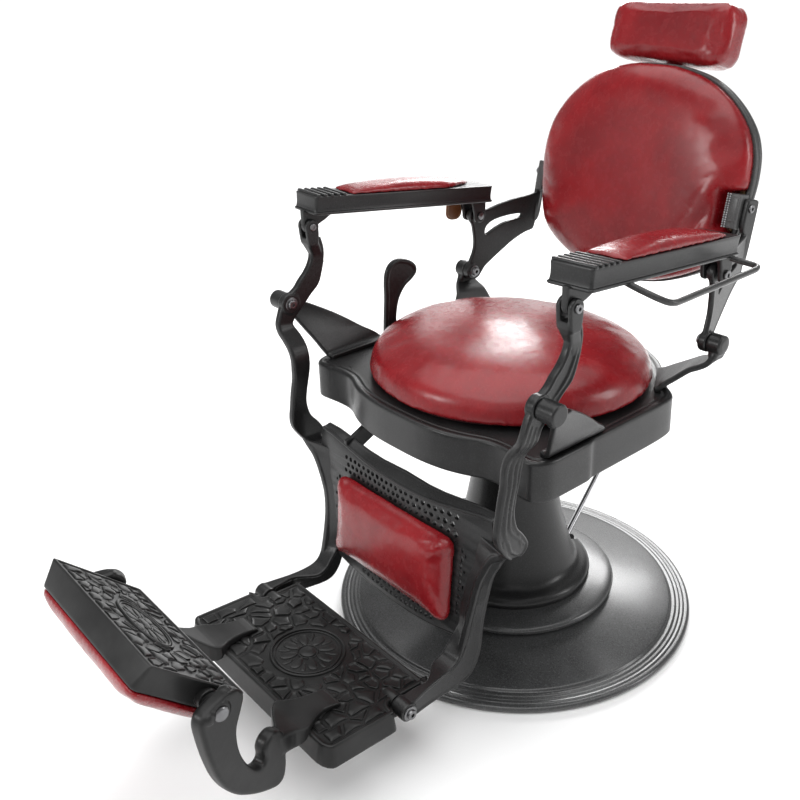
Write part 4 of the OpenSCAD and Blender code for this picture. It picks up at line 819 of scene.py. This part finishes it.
hook_pts = [(-4, 172), (-3, 140), (0, 112), (8, 94), (22, 90), (40, 98), (62, 112), (82, 128), (100, 146), (116, 170), (128, 200), (136, 235), (141, 270),
  (143, 298), (140, 311), (130, 319), (104, 322), (82, 320), (68, 312), (62, 298), (70, 280), (82, 258), (85, 236), (83, 212), (76, 188), (66, 168), (56, 156),
  (46, 153), (40, 160), (40, 174), (30, 186), (12, 188)]
def hook(s):
    HK = T(155, -657, 0) @ R('Z', 16.5)
    prof = [(6.0, -12), (3.4, -11.6), (1.6, -10.2), (0.5, -8), (0, -5), (0, 5), (0.5, 8), (1.6, 10.2), (3.4, 11.6), (6.0, 12)]
    o = [(-a, b) for a, b in cr(hook_pts, 5)]
    parts = [xf(slab(o, prof, step=3.0, to3=yz(0)), HK)]
    parts.append(disc(168, 197, flip_ax, 16.8, 4.0))
    parts.append(xf(lathe([(0, 0), (8.6, 0), (8.2, 4), (6, 6.6), (0, 7.6)], 32, T(9, -126, 309) @ R('Y', 90)), HK))
    parts.append(xf(lathe([(0, -6), (10, -6), (10, 1), (8, 4.4), (4, 6), (0, 6.4)], 32, T(-3, -84, 316)), HK))
    def bx(y, x0, x1, z0, z1, r): return [(a, y, b) for a, b, _ in rr((x0 + x1)/2, (z0 + z1)/2, (x1 - x0)/2, (z1 - z0)/2, r, 0)]
    bar = [bx(-139, 98, 141, 0.3, 2.6, 1), bx(-146, 97, 142, 0.3, 7.5, 2), bx(-158, 98, 140.5, 0.3, 9.5, 2), bx(-172, 98, 140.5, 0.3, 11, 2), bx(-188, 95.5, 146, 0.3, 12.5, 2), bx(-202, 91, 153, 0.3, 13.5, 2.2),
           bx(-213, 85, 160, -3, 14.5, 2.6), bx(-221, 81.5, 162.5, -9, 15.5, 3), bx(-229, 85, 162, -13, 17, 4), bx(-238, 94, 161, -14, 20, 5), bx(-248, 110, 163, -12, 24, 6), bx(-258, 130, 167, -9, 28, 7), bx(-268, 142, 170, -6, 31, 8)]
    parts.append(xf(loft(bar), FOOT))
    ob = ob_s('j_hook', parts, M_black, s); fused(ob, 1.6, 2)
    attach(ob, 'footrest'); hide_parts('hook_' + ('left' if s > 0 else 'right'))
for s in (1, -1): hook(s)

def flip_rest():
    # walls: the ends lean in towards the cushion, the long sides hardly do
    def ring(hx, ya, yb, r, z): return rr(0, (ya + yb)/2, hx, (yb - ya)/2, r, z, 4)
    rings = [ring(140, -96, 46, 4, 8), ring(142, -99, 49, 5, -16), ring(143, -100, 50, 6, -19.4), ring(145, -102.5, 51.5, 7, -20), ring(148, -108, 54, 9, -20), ring(149.4, -109.6, 55.4, 9.5, -19.4), ring(150.2, -110.2, 56, 9.5, -17.8), ring(150.8, -110.6, 56.4, 9, -15),
             ring(155, -111.4, 57.4, 6, 3), ring(159.2, -112, 58, 4, 17.4), ring(159.6, -112, 58, 3.6, 19.2), ring(159.2, -111.6, 57.6, 3.4, 20.4), ring(158, -110.4, 56.4, 3.4, 21), ring(155.6, -108, 54, 3.4, 21), ring(154.4, -106.8, 52.8, 3.2, 20.4), ring(153.6, -106, 52, 3, 19), ring(152.2, -104.6, 50.6, 3, 18.4)]
    parts = [loft(rings)]
    rnd = random.Random(11)
    for c, poly in cells(-150, 150, -102, 49, 20.5, 17, 1.2):
        q = push(poly, 0, -27, 76, 36)
        if not q: continue
        g = stone(q, 18.3, rnd.random() < 0.6, gap=rnd.uniform(2.0, 3.6), high=rnd.uniform(1.8, 2.8))
        if g: parts.append(g)
    parts += rosette(0, -27, 70, 31, 19.2, 1.7)
    ob = merge('flip_tray_cast', [xf(p, FLIP) for p in parts], M_black, body='flip_rest', rep='flip_tray', sharp=46)
    lugs = []
    for s in (1, -1): lugs.append(xf(disc(141, 165.6, flip_ax, 15.6, 2.4), side(s)))
    lg = merge('flip_lugs', lugs, M_black); bore(lg, 130, 170, flip_ax, 7.08); bore(lg, -170, -130, flip_ax, 7.08)
    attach(lg, 'flip_rest')
    parts = []
    for s in (1, -1):
        parts += [xf(disc(142, 197, flip_ax, 7, 0.8), side(s)), xf(lathe([(0, 0), (10.4, 0), (11, 0.8), (11, 3.2), (9.4, 4.8), (6.5, 5.4), (0, 5.6)], 40, T(196.4, *flip_ax) @ R('Y', 90)), side(s))]
    merge('flip_bolts', parts, M_bolt, body='footrest', rep='flip_screws')
flip_rest()

# ================================================================== BACKREST
side_pts = [(149, 590), (157, 606), (165, 625), (167, 645), (165, 665), (162, 680), (155, 692), (154, 704), (160, 714), (172, 718), (184, 712), (197, 707),
  (227, 714), (263, 720), (300, 723), (322, 727), (328, 724), (326, 710), (318, 676), (313, 656), (308, 649), (290, 645), (262, 633), (236, 617),
  (212, 601), (194, 588), (185, 577), (177, 567), (165, 563), (153, 569), (147, 580)]
slot_pts = [(193, 655), (200, 657), (218, 666), (240, 674), (262, 677), (279, 680), (278, 687), (254, 688), (230, 686), (208, 681), (194, 670)]
tab_far = [(-3, -172), (-2, -122), (2, -118), (13, -119), (17, -123), (17, -216), (13, -232), (3, -240), (-2, -232), (-3, -200), (-3, -184)]
tab_pts = [(-19, -172), (-19, -122), (-15, -117), (12, -119), (17, -123), (17, -216), (13, -232), (3, -240), (-2, -232), (1, -200), (0, -184)]
def back_side(s):
    W = T(274.3, 165, 0) @ R('Z', 14.5) @ T(0, -165, 0)
    web = slab(cr(side_pts, 4), [(2.6, 0), (0.8, 0.7), (0, 2.6), (0, 7.4), (0.8, 9.3), (2.6, 10), (5.2, 10), (6.4, 9.2), (9, 9.2)], holes=[cr(slot_pts, 4)], hole_profile=[(0, 0), (-0.6, 1), (-0.6, 8.4), (0, 9.8), (1.2, 9.2)], step=2.6, to3=yz(0))
    o = ccw(tab_pts if s > 0 else tab_far)
    tab = slab(resample(chaikin(o, 2), 2.4), [(2.0, 236.2), (0.6, 236.8), (0, 238.2), (0, 244), (0.6, 245.4), (2.0, 246)], keep=True, to3=lambda a, b, c: (c, a, b))
    parts = [xf(web, W), xf(tab, BACK), disc(273.6, 289, hip, 18, 2.4), disc(272.6, 287, arm_b, 15, 2.2)]
    ob = ob_s('back_casting', parts, M_cast, s); fused(ob, 1.4, 2)
    bore(ob, 262, 300, hip, 8.1, side(s))
    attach(ob, 'backrest'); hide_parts('back_side_' + ('left' if s > 0 else 'right'))
def back_bits():
    parts, beads = [], []
    for s in (1, -1):
        m = side(s) @ BACK
        front = -29 if s > 0 else -13
        parts.append(xf(rbox((208 if s > 0 else 219, front, -171), (235.4, -3, -112), 2.2, 3), m))
        parts.append(xf(rbox((218.6 if s > 0 else 226, front - (1.4 if s > 0 else -5), -160), (232.4, -6, -117), 1.6, 3), m))
        if s > 0:
            for col in (210.8, 215.4):             # lines of beads down the front of the strip
                for k in range(15): beads.append(xf(lathe([(0.01, -1.9), (1.0, -1.65), (1.7, -0.95), (1.95, 0), (1.7, 0.95), (1.0, 1.65), (0.01, 1.9)], 12, T(col, -29.2, -169 + 3.95*k)), m))
    merge('back_strips', parts, M_rimlight, body='backrest', rep='back_clamps')
    merge('back_strip_beads', beads, M_steel, body='backrest')
    parts = []
    for s in (1, -1):
        m = side(s) @ BACK
        parts += [xf(lathe([(0, 0), (4, 0), (4, 18.2), (0, 18.2)], 32, T(228, -8 if s > 0 else 6, -134) @ R('Y', 90)), m), xf(hexhead(7.2, 3.6, T(246, -8 if s > 0 else 6, -134) @ R('Y', 90)), m),
                  xf(disc(256, 302, arm_b, 5, 0.6), side(s)), xf(hexhead(8.2, 3.2, T(301.4, *arm_b) @ R('Y', 90)), side(s)), xf(hexhead(7.6, 3.0, T(259.4, *arm_b) @ R('Y', -90)), side(s))]
    merge('back_bolts', parts, M_bolt, body='backrest', rep='back_screws')
for s in (1, -1): back_side(s)
back_bits()

back_half = [(0, 91), (40, 90), (80, 83), (115, 72), (148, 54), (178, 30), (200, 6), (215, -17), (226, -48), (230, -85), (229, -118),
  (225, -150), (218, -185), (208, -214), (192, -238), (165, -258), (130, -276), (90, -291), (45, -300), (0, -303)]
def back_outline(k=1.0, dx=0.0, n=4):
    p = cr(both(back_half), n); c = (0, -106)
    return [((c[0] + (x - c[0])*k)*(0.955 if x < 0 else 1.0), c[1] + (y - c[1])*(k - (0.025 if y > c[1] else 0))) for x, y in p]
def back_shell():
    to3 = lambda a, b, c: (a, -c, b)
    prof = [(9.4, -21), (9.2, -10), (8.8, -2.4), (8.0, -0.7), (6.4, 0), (3.4, 0), (1.6, -0.5), (0.5, -1.6), (0, -3.4), (0, -9), (1.2, -10), (1.4, -12), (0.4, -13.2), (0.4, -19), (1.4, -22), (3.6, -24.4), (7, -25.7), (12, -26),
            (34, -26), (35.4, -25.2), (38, -24.6), (40.6, -25.2), (42, -26), (52, -26)]
    parts = [slab(back_outline(1.02), prof, step=4.2, blur=0.1, to3=to3)]
    m = BACK
    ob = merge('back_shell_cast', [xf(p, m) for p in parts], M_rimlight, body='backrest', rep='back_shell', sharp=42)
    # screws through the rear of the shell
    sc = []
    for x, z in ((-120, 0), (120, 0), (-150, -150), (150, -150), (0, -250), (-150, -60), (150, -60)):
        sc.append(xf(lathe([(0, 0), (6.4, 0), (6.2, 1.2), (4.6, 2.6), (2.2, 3.2), (0, 3.3)], 32, BACK @ T(x, 25.6, z) @ R('X', -90)), Matrix.Identity(4)))
    merge('back_shell_screws', sc, M_steel, body='backrest')
back_shell()

def headrest_iron():
    o = [(34, -150), (42, -150), (42, 70), (92, 109), (92, 139.5), (84, 139.5), (84, 113), (34, 74)]
    fine = []
    for a, b in zip(o, o[1:] + o[:1]):
        n = max(1, int(math.dist(a, b)/6)); fine += [(a[0] + (b[0] - a[0])*k/n, a[1] + (b[1] - a[1])*k/n) for k in range(n)]
    post = slab(chaikin(fine, 2), [(1.6, -16), (0.5, -15.4), (0, -14), (0, 14), (0.5, 15.4), (1.6, 16)], keep=True, to3=yz(0))
    parts = [xf(post, BACK), xf(lathe([(4.06, 0), (8, 0), (9, 1), (9, 30), (8, 31), (4.06, 31)], 40, T(-15.5, 88, 146) @ R('Y', 90), closed=True), BACK)]
    ob = merge('headrest_bar_steel', parts, M_steel)
    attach(ob, 'headrest_bar'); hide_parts('headrest_post')
    sk = merge('headrest_socket_cast', [xf(rbox((-26, 26.2, -80), (26, 50, 60), 3.5, 4), BACK), xf(rbox((-34, 26.2, -72), (34, 31, -52), 2, 2), BACK), xf(rbox((-34, 26.2, 32), (34, 31, 52), 2, 2), BACK)], M_cast)
    slot_ = xf(([(x, y, z) for z in (-90, 70) for x, y in ((-16.1, 33.9), (16.1, 33.9), (16.1, 42.1), (-16.1, 42.1))], [(0, 1, 2, 3), (4, 5, 6, 7), (0, 1, 5, 4), (1, 2, 6, 5), (2, 3, 7, 6), (3, 0, 4, 7)]), BACK)
    bore_ = lathe([(0, 0), (5.1, 0), (5.1, 22), (0, 22)], 32, BACK @ T(0, 38, 20) @ R('X', -90))
    sub(sk, [slot_, bore_]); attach(sk, 'backrest'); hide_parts('headrest_socket')
    # knob with scallops
    V = []; prof = [(0.2, 8), (15, 8), (18.6, 9), (20, 11), (20, 22), (19, 24.6), (16.4, 26), (8, 26), (6.6, 25.2), (0.2, 25)]
    rings = []
    for k in range(72):
        a = 2*math.pi*k/72; f = 1 - 0.13*max(0, math.cos(6*a))**1.5
        rings.append([(r*(f if r > 10 else 1)*math.cos(a), r*(f if r > 10 else 1)*math.sin(a), z) for r, z in prof])
    V = [q for r in rings for q in r]; n = len(prof); F = [(k*n + i, ((k + 1) % 72)*n + i, ((k + 1) % 72)*n + i + 1, k*n + i + 1) for k in range(72) for i in range(n - 1)]
    F += [tuple(k*n for k in range(72))[::-1], tuple(k*n + n - 1 for k in range(72))]
    kn = [(V, F), lathe([(0, 0), (5, 0), (5, 9), (0, 9)], 32)]
    merge('headrest_knob_plastic', [xf(p, BACK @ T(0, 42.3, 20) @ R('X', -90)) for p in kn], M_plastic, body='clamp_knob', rep='headrest_knob')
    parts = [xf(rbox((-100, 34.2, -38), (100, 38, 38), 1.6, 3), HEAD)]
    for x0 in (-26, 17.2):
        lug = []
        for a in range(-90, 91, 15): lug.append((88 + 9*math.cos(math.radians(a)), 146 + 9*math.sin(math.radians(a))))
        lug += [(74, 155), (74, 137)]
        parts.append(xf(slab(lug, [(1.0, x0), (0.3, x0 + 0.3), (0, x0 + 1), (0, x0 + 7.8), (0.3, x0 + 8.5), (1.0, x0 + 8.8)], step=2.0, to3=lambda a, b, c: (c, a, b)), BACK))
    parts.append(xf(lathe([(0, 0), (4, 0), (4, 54), (0, 54)], 32, T(-27, 88, 146) @ R('Y', 90)), BACK))
    merge('headrest_plate_steel', parts, M_cast, body='headrest', rep='headrest_shell')
headrest_iron()

# ================================================================== ARMRESTS
def armrest(s):
    m = side(s) @ ARM
    def bar(hx, y0, y1, r, prof):
        """Long box with rounded plan corners: prof is [(grow, z)]."""
        return loft([rr(0, (y0 + y1)/2, hx + g, (y1 - y0)/2 + g, r, z, 5) for g, z in prof])
    body = bar(36, 0, 410, 5.0, [(-1.5, -27.4), (0, -26.6), (-0.6, -23), (-0.9, -18), (-0.4, -5), (0, -1.8), (-0.4, -0.6), (-1.6, 0), (-4, 0.1), (-5.4, -0.5), (-8, -0.5)])
    lip = bar(38, -2, 412, 6.0, [(-2.2, -32.4), (-0.8, -31.8), (0, -30.4), (0, -28.8), (-0.8, -27.4), (-2.4, -27), (-6, -27)])
    parts = [body, lip]
    for i in range(5):
        y = 4.5 + 13.4*i
        parts.append(loft([rr(0, y + 3.0, 36.2 + g, 3.1 + g, 1.4, z, 3) for g, z in ((-0.4, -1.5), (0, -0.5), (0, 2.6), (-0.5, 3.6), (-1.5, 4.0))]))
    ob = merge('armrest_cast_' + ('left' if s > 0 else 'right'), [xf(p, m) for p in parts], M_cast, body='left_arm' if s > 0 else 'right_arm', rep='armrest_' + ('left' if s > 0 else 'right'), sharp=42)
    tongue = flatslab([(-232, 782), (-232, 764), (-233, 751), (-229.5, 742), (-220, 738.6), (-211, 741), (-201, 751), (-187, 756), (-168, 765), (-148, 773), (-144, 780)], 298.6, 310.4, n=1, r=2.2, step=2.4)
    pad_ = loft([rr(304.5, -216, 6.2, 15, 4, 766), rr(304.5, -214, 8, 17, 5, 774), rr(304.5, -212, 13, 20, 6, 780), rr(304.5, -210, 14, 22, 6, 786)])
    parts = [tongue]
    for x0, x1 in ((259.6, 267.6), (291.8, 300.3)):
        parts.append(flatslab([(150, 747), (152, 722), (156, 706), (157, 693), (163, 687), (170, 685.5), (177, 687), (183, 693), (185.5, 708), (186, 740), (184, 748)], x0, x1, n=2, r=2.2, step=2.6))
    parts.append(loft([rr(280, 166, 20.4, 21, 5, 736), rr(280, 166, 20.6, 21, 6, 744), rr(280, 166, 20.4, 20, 6, 750)]))
    ob2 = ob_s('armrest_hinges', parts, M_cast, s); fused(ob2, 1.3, 2)
    bore(ob2, 290, 320, arm_f, 6.7, side(s)); bore(ob2, 250, 310, arm_b, 5.1, side(s))
    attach(ob2, 'left_arm' if s > 0 else 'right_arm'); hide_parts('arm_plate_' + ('left' if s > 0 else 'right'))
for s in (1, -1): armrest(s)
def towel():
    P = [(26, 92, -29.5), (32, 93, -32.4), (46, 94.5, -36.6), (62, 97, -41), (76, 102, -45.6), (86, 111, -50), (90.5, 121, -51.6), (91.2, 134, -51.8), (91, 180, -49), (90.6, 240, -45.6), (90.2, 300, -42), (90, 348, -39.2), (89.4, 362, -38.2), (86, 374, -37.2), (79, 380.4, -36.4), (66, 382.4, -35.6), (48, 383.6, -34.4), (36, 384, -32.4), (32.5, 384, -29.5)]
    P = cr(P, 5, closed=False)
    parts = [tube(P, 4.8, 24)]
    for x, y in ((27.5, 92), (32.5, 384)): parts.append(loft([rr(x, y, 5 + g, 9 + g, 4, z, 4) for g, z in ((0.6, -34.4), (1, -33.4), (1, -32.4), (-0.4, -31.8))]))
    merge('towel_rail', [xf(p, ARM) for p in parts], M_towel, body='left_arm', rep='towel_bar', sharp=50)
M_towel = enamel('rail_enamel', (0.03, 0.03, 0.03), (0.06, 0.06, 0.06), 0.3, 0.05, 900)
towel()
def strop():
    M = MIR @ ARM
    o = []
    for cx, cz, a0 in ((384, -62, 270), (364, -62, 180)):
        pass
    o = [(352, -27.6), (391, -27.6), (392, -64), (390, -71), (384.6, -76), (377, -78.4), (367, -78.4), (359, -76), (353.6, -71), (351.6, -64)]
    p = slab(cr(o, 3) if False else resample(chaikin(ccw(o), 2), 1.8), [(1.1, 33.2), (0.3, 33.5), (0, 34.2), (0, 35.8), (0.3, 36.5), (1.1, 36.8)], keep=True, to3=lambda a, b, c: (c, a, b))
    ob = merge('strop_leather', [xf(p, M)], M_tab, body='right_arm', rep='strop_tab', sharp=50)
    st = []
    edge = resample(inset(ccw(o), 3.6), 3.4)
    for i in range(0, len(edge)):
        a, b = edge[i], edge[(i + 1) % len(edge)]
        if a[1] > -30: continue
        q = (a[0] + (b[0] - a[0])*0.68, a[1] + (b[1] - a[1])*0.68)
        for x in (33.0, 37.0): st.append(tube([(x, a[0], a[1]), (x + (0.25 if x > 35 else -0.25), (a[0] + q[0])/2, (a[1] + q[1])/2), (x, q[0], q[1])], 0.42, 8))
    st.append(lathe([(0, 0), (3.6, 0), (3.4, 0.9), (1.8, 1.7), (0, 1.9)], 24, T(36.6, 374, -36) @ R('Y', 90)))
    merge('strop_stitches', [xf(q, M) for q in st], M_thread, body='right_arm')
def thread_mat():
    m = Mat('waxed_thread', (0.45, 0.3, 0.15), 0.6); g = m.noise(900, 2, 0.6); m.color(m.mix(g, (0.32, 0.2, 0.09), (0.55, 0.4, 0.22))); m.bump(g, 0.1, 0.6); return m.m
M_thread = thread_mat()
strop()

# ================================================================== CUSHIONS
from mathutils import noise
def nz(p, k, s=0.0): return noise.noise(Vector((p[0]*k + s, p[1]*k + s*0.7, p[2]*k - s)))
def bell(v, w): return math.exp(-(v/w)**2)
def step_(v, a, b):
    t = min(1, max(0, (v - a)/(b - a))); return t*t*(3 - 2*t)
def creases(p, k, s, sharp=3.0):
    """Thin folded lines: 1 on a line, 0 away from it."""
    return max(0.0, 1 - abs(nz(p, k, s))*sharp*2.2)**2
def cushion(name, rings, M, node, body, lo, hi, voxel=5.0, cap=4.0, hold=None, folds=None, smooth=8):
    me_, f_ = loft(rings)
    ob = merge(name, [xf((me_, f_), M)], M_leather)
    I = M.inverted()
    swell(ob, voxel, 4.0, cap, hold=(lambda w: hold(I @ Vector(w))) if hold else None, smooth=smooth, after=(lambda o: dent(o, M, folds)) if folds else None)
    clampbox(ob, M, lo, hi)
    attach(ob, body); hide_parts(node)
    return ob

def seat_cushion():
    prof = cr([(250, -1.5), (254, 0.5), (254.5, 7), (253.2, 15), (252, 24), (247.5, 35), (238, 45.5), (219, 55.5), (192, 62.5), (152, 68), (100, 72), (50, 74), (8, 74.6)], 2, closed=False)
    rings = []
    for r, h in prof:
        ring = []
        for k in range(144):
            a = 2*math.pi*k/144; c, s_ = math.cos(a), math.sin(a)
            y = r*s_*(0.95 if s_ > 0 else 0.98)
            ring.append((r*1.024*c, -16 + y, 509.6 + h - 0.03*max(0, y)*h/74))
        rings.append(ring)
    def folds(p):
        a = math.atan2(p[1] + 16, p[0]); r = math.hypot(p[0], p[1] + 16); h = p[2] - 509.6
        g = 0.5 + 0.5*math.sin(a*118 + 5*nz((math.cos(a)*6, math.sin(a)*6, 0), 1.0))
        low = bell(h - 4, 9)*step_(r, 205, 235)
        d = -1.0*g**3*low*(0.5 + 0.5*abs(nz((a*9, 0, 0), 1.0, 4)))
        d -= 1.0*bell(h - 1.5, 2.4)*step_(r, 215, 235)
        d += 0.9*nz(p, 0.011, 3) + 0.35*nz(p, 0.03, 8)
        d -= 0.35*creases(p, 0.03, 15, 5)*step_(r, 250, 170)
        return d
    cushion('seat_leather', rings, T(0, 0, 0), 'seat_cushion', 'seat', (-257, -263, 509.6), (257, 226, 588), voxel=5.5, cap=4.0, hold=lambda q: q[2] < 512.5, folds=folds, smooth=18)
seat_cushion()

def back_cushion():
    o = resample(cr(both(back_half), 4), 6.0)
    def ring(k, c): return [(x*k*(0.95 if x < 0 else 1.0), -c, -106 + (z + 106)*(k - (0.02 if z > -106 else 0))) for x, z in o]
    prof = cr([(0.965, -20), (0.98, -17), (0.984, -9), (0.99, -2), (1.018, 2), (1.028, 9), (1.02, 18), (0.995, 26.5), (0.95, 33), (0.88, 38), (0.78, 41.4), (0.64, 43.8), (0.46, 45.2), (0.24, 46), (0.05, 46.2)], 2, closed=False)
    def folds(p):
        x, y, u = p; ax = abs(x); d = 0.0
        side_ = step_(u, -104, -114)*step_(u, -186, -168)
        d -= 22.0*side_*step_(x, 190, 212)                                  # gathered in beside the strips
        t = (u + 112)/-78.0                                                  # a fold running down and in from the top of the strip
        if -0.25 < t < 1.35:
            line = 196 - 30*t + 3*math.sin(t*5); w = step_(t, -0.25, 0.1)*step_(t, 1.35, 0.8)
            k = 1.0 if x > 0 else 0.0
            d += k*w*(-3.0*bell(ax - line, 9) + 1.8*bell(ax - line + 24, 13))
        w = step_(ax, 120, 190)*step_(u, -70, -100)
        d += w*(-0.9*creases(p, 0.022, 31, 2.6))
        edge = math.hypot(x/222.0, (u + 106)/198.0)
        a = math.atan2(u + 106, x); g = 0.5 + 0.5*math.sin(a*96 + 4*nz((math.cos(a)*6, math.sin(a)*6, 0), 1.0))
        d -= 0.7*g**3*step_(edge, 0.9, 0.97)*bell(y - 2, 10)
        d += 1.0*nz(p, 0.008, 5) + 0.3*nz(p, 0.02, 9)
        return d
    cushion('back_leather', [ring(k, c) for k, c in prof], BACK, 'back_cushion', 'backrest', (-233, -50, -311), (233, 20, 105), voxel=5.5, cap=4.0, hold=lambda q: q[1] > 2, folds=folds, smooth=16)
back_cushion()

def headrest_cushion():
    def sec(x, g, n=7):
        o = []
        y0, y1, z0, z1, r = -36 + g*0.6, 34 - g*0.45, -55 - 5.0*x/120 + g, 50.5 - g, max(5, 17 - g*0.25)
        for cy, cz, a0 in ((y1 - r, z1 - r, 0), (y0 + r, z1 - r, 90), (y0 + r, z0 + r, 180), (y1 - r, z0 + r, 270)):
            o += [(x, cy + r*math.cos(math.radians(a0 + 90*k/n)), cz + r*math.sin(math.radians(a0 + 90*k/n))) for k in range(n + 1)]
        return [q for a, b in zip(o, o[1:] + o[:1]) for q in ((a, tuple((u + v)/2 for u, v in zip(a, b))) if math.dist(a, b) > 8 else (a,))]
    st = [(127.5, 25), (125, 17), (121, 10.0), (115, 5.0), (107, 1.8), (96, 0.3), (70, 0), (35, 0)]
    rings = [sec(-x, g) for x, g in st] + [sec(0, 0)] + [sec(x, g) for x, g in st[::-1]]
    def folds(p):
        x, y, z = p; ax = abs(x)
        d = -1.1*bell(ax - 111, 1.7)*step_(y, 30, 20)                       # seam round each end
        d += 0.4*bell(ax - 115, 3.0)
        d += 3.0*bell(z, 34)*step_(y, 0, -20)*step_(ax, 108, 40)            # crown of the front
        g = 0.5 + 0.5*math.sin(z*0.62 + 3*nz(p, 0.02, 2))
        d -= 0.5*g**3*bell(ax - 103, 6)*step_(y, 0, -22)
        d -= 0.8*bell(z + 44, 3.0)*step_(y, 20, 0) * 0.8
        d -= 0.9*creases(p, 0.03, 21, 3.5)*step_(x, 70, 104)
        d += 0.7*nz(p, 0.016, 6) + 0.2*nz(p, 0.04, 1)
        return d
    cushion('headrest_leather', rings, HEAD, 'headrest_cushion', 'headrest', (-128, -39, -61), (128, 34.1, 51.5), voxel=4.0, cap=3.0, hold=lambda q: q[1] > 31.5, folds=folds, smooth=9)
headrest_cushion()

def arm_pad(s):
    m = side(s) @ ARM
    rings = []
    L = [(79.5, 0.93, 0.45), (81, 0.97, 0.72), (84, 0.99, 0.9), (90, 1, 1.0), (110, 1, 1.0)] + [(y, 1, 1.0) for y in range(130, 300, 20)]
    for y in (300, 320, 338, 352, 364, 373, 379.5, 383.2, 385): L.append((y, 1, 1))
    for y, wf, hf in L:
        t = (y - 80)/305.0
        x1 = 33.6 - 1.0*step_(y, 84, 80) - 4*step_(y, 330, 378) - 9*step_(y, 374, 386)
        x0 = -33.6 + 28*step_(y, 285, 372)**1.3 + 16*step_(y, 362, 386)
        cx, w = (x0 + x1)/2, max(3.0, (x1 - x0)/2*wf)
        h = (5.0 + 11.4*max(0.0, math.sin(math.pi*min(1, max(0, t))**0.92))**0.75)*hf*(1 - 0.55*step_(y, 350, 386))
        o = []
        for k in range(28):
            a = math.pi*k/27
            o.append((cx + w*math.copysign(abs(math.cos(a))**0.62, math.cos(a)), y, 0.4 + h*math.sin(a)**0.62))
        o += [(cx - w*0.96 + 2*w*0.96*k/9, y, 0.3) for k in range(1, 9)]
        rings.append(o)
    def folds(p):
        x, y, z = p
        d = -0.3*(0.5 + 0.5*math.sin(y*0.35 + 3*nz((0, y, 0), 0.05)))**3*bell(z - 3, 2.2)*step_(y, 384, 350)
        d -= 0.9*bell(y - 90 - 3*nz(p, 0.05), 3)*0.35
        d += 0.45*nz(p, 0.03, 4 + s) + 0.25*nz(p, 0.07, 7)
        return d
    nm = 'left' if s > 0 else 'right'
    cushion('arm_pad_leather_' + nm, rings, m, 'arm_pad_' + nm, 'left_arm' if s > 0 else 'right_arm', (-35.5, 78.5, 0.2), (35.5, 386.5, 18.5), voxel=2.6, cap=1.0, hold=lambda q: q[2] < 1.4, folds=folds, smooth=4)
for s in (1, -1): arm_pad(s)

def pillow(hx, hy, cy, prof, sign, pull, r0, grow=-0.28):
    """Rings of a rounded-corner pad whose long sides pull in a little between the corners."""
    rings = []
    for g, z in prof:
        o = []
        for x, y, _ in rr(0, 0, hx - g, hy - g*0.92, max(6, r0 + g*grow), 0, 8):
            o.append((x, y))
        n = resample(o, 5.0) if not rings else None
        if n is not None: base_n = len(n)
        q = resample(o, sum(math.dist(a, b) for a, b in zip(o, o[1:] + o[:1]))/base_n)
        q = q[:base_n] + [q[-1]]*(base_n - len(q))
        rings.append([(x*(1 - pull*(1 - (y/(hy - g))**2)*abs(x)/(hx - g)), cy + y*(1 - pull*1.6*(1 - (x/(hx - g))**2)*abs(y)/(hy - g)), z*sign) for x, y in q])
    return rings
def leg_cushion():
    prof = [(5.0, 3.2), (2.0, 5), (0.2, 10), (0.4, 15), (2.6, 20.5), (7, 25), (14, 28.6), (24, 31.2), (38, 33), (54, 33.9), (68, 34.2)]
    rings = pillow(153, 79.5, -46, prof, 1, 0.014, 17)
    def folds(p):
        x, y, z = p; ex, ey = abs(x)/148.0, abs(y + 45.5)/76.0
        d = -0.7*(0.5 + 0.5*math.sin((x if ey > ex else y)*0.55 + 3*nz(p, 0.03)))**3*bell(z - 6, 5)
        d -= 1.2*bell(math.hypot(abs(x) - 132, abs(y + 45.5) - 60), 16)*creases(p, 0.06, 3, 1.6)
        d += 0.8*nz(p, 0.02, 12) + 0.3*nz(p, 0.05, 2)
        return d
    cushion('leg_pad_leather', rings, LEG, 'leg_pad', 'leg_rest', (-157, -130, 3.4), (157, 38, 37.5), voxel=4.2, cap=3.0, hold=lambda q: q[2] < 5.5, folds=folds, smooth=6)
leg_cushion()
def flip_cushion():
    prof = [(3.0, 20.2), (0.4, 21.5), (0, 24), (1.0, 27), (4, 31.5), (9, 36), (17, 41), (28, 45.6), (42, 49.4), (56, 51.8), (68, 52.6)]
    rings = pillow(152.5, 81.5, -28.5, prof, -1, 0.0, 15, 0.75)
    def folds(p):
        x, y, z = p
        d = -0.7*(0.5 + 0.5*math.sin((x if abs(y + 27)/76 > abs(x)/148 else y)*0.55 + 3*nz(p, 0.03)))**3*bell(z + 24, 5)
        d += 0.9*nz(p, 0.02, 22) + 0.35*nz(p, 0.05, 3)
        return d
    cushion('flip_leather', rings, FLIP, 'flip_cushion', 'flip_rest', (-154, -112, -55), (154, 54, -20.3), voxel=4.2, cap=3.0, hold=lambda q: q[2] > -22.2, folds=folds, smooth=6)
flip_cushion()
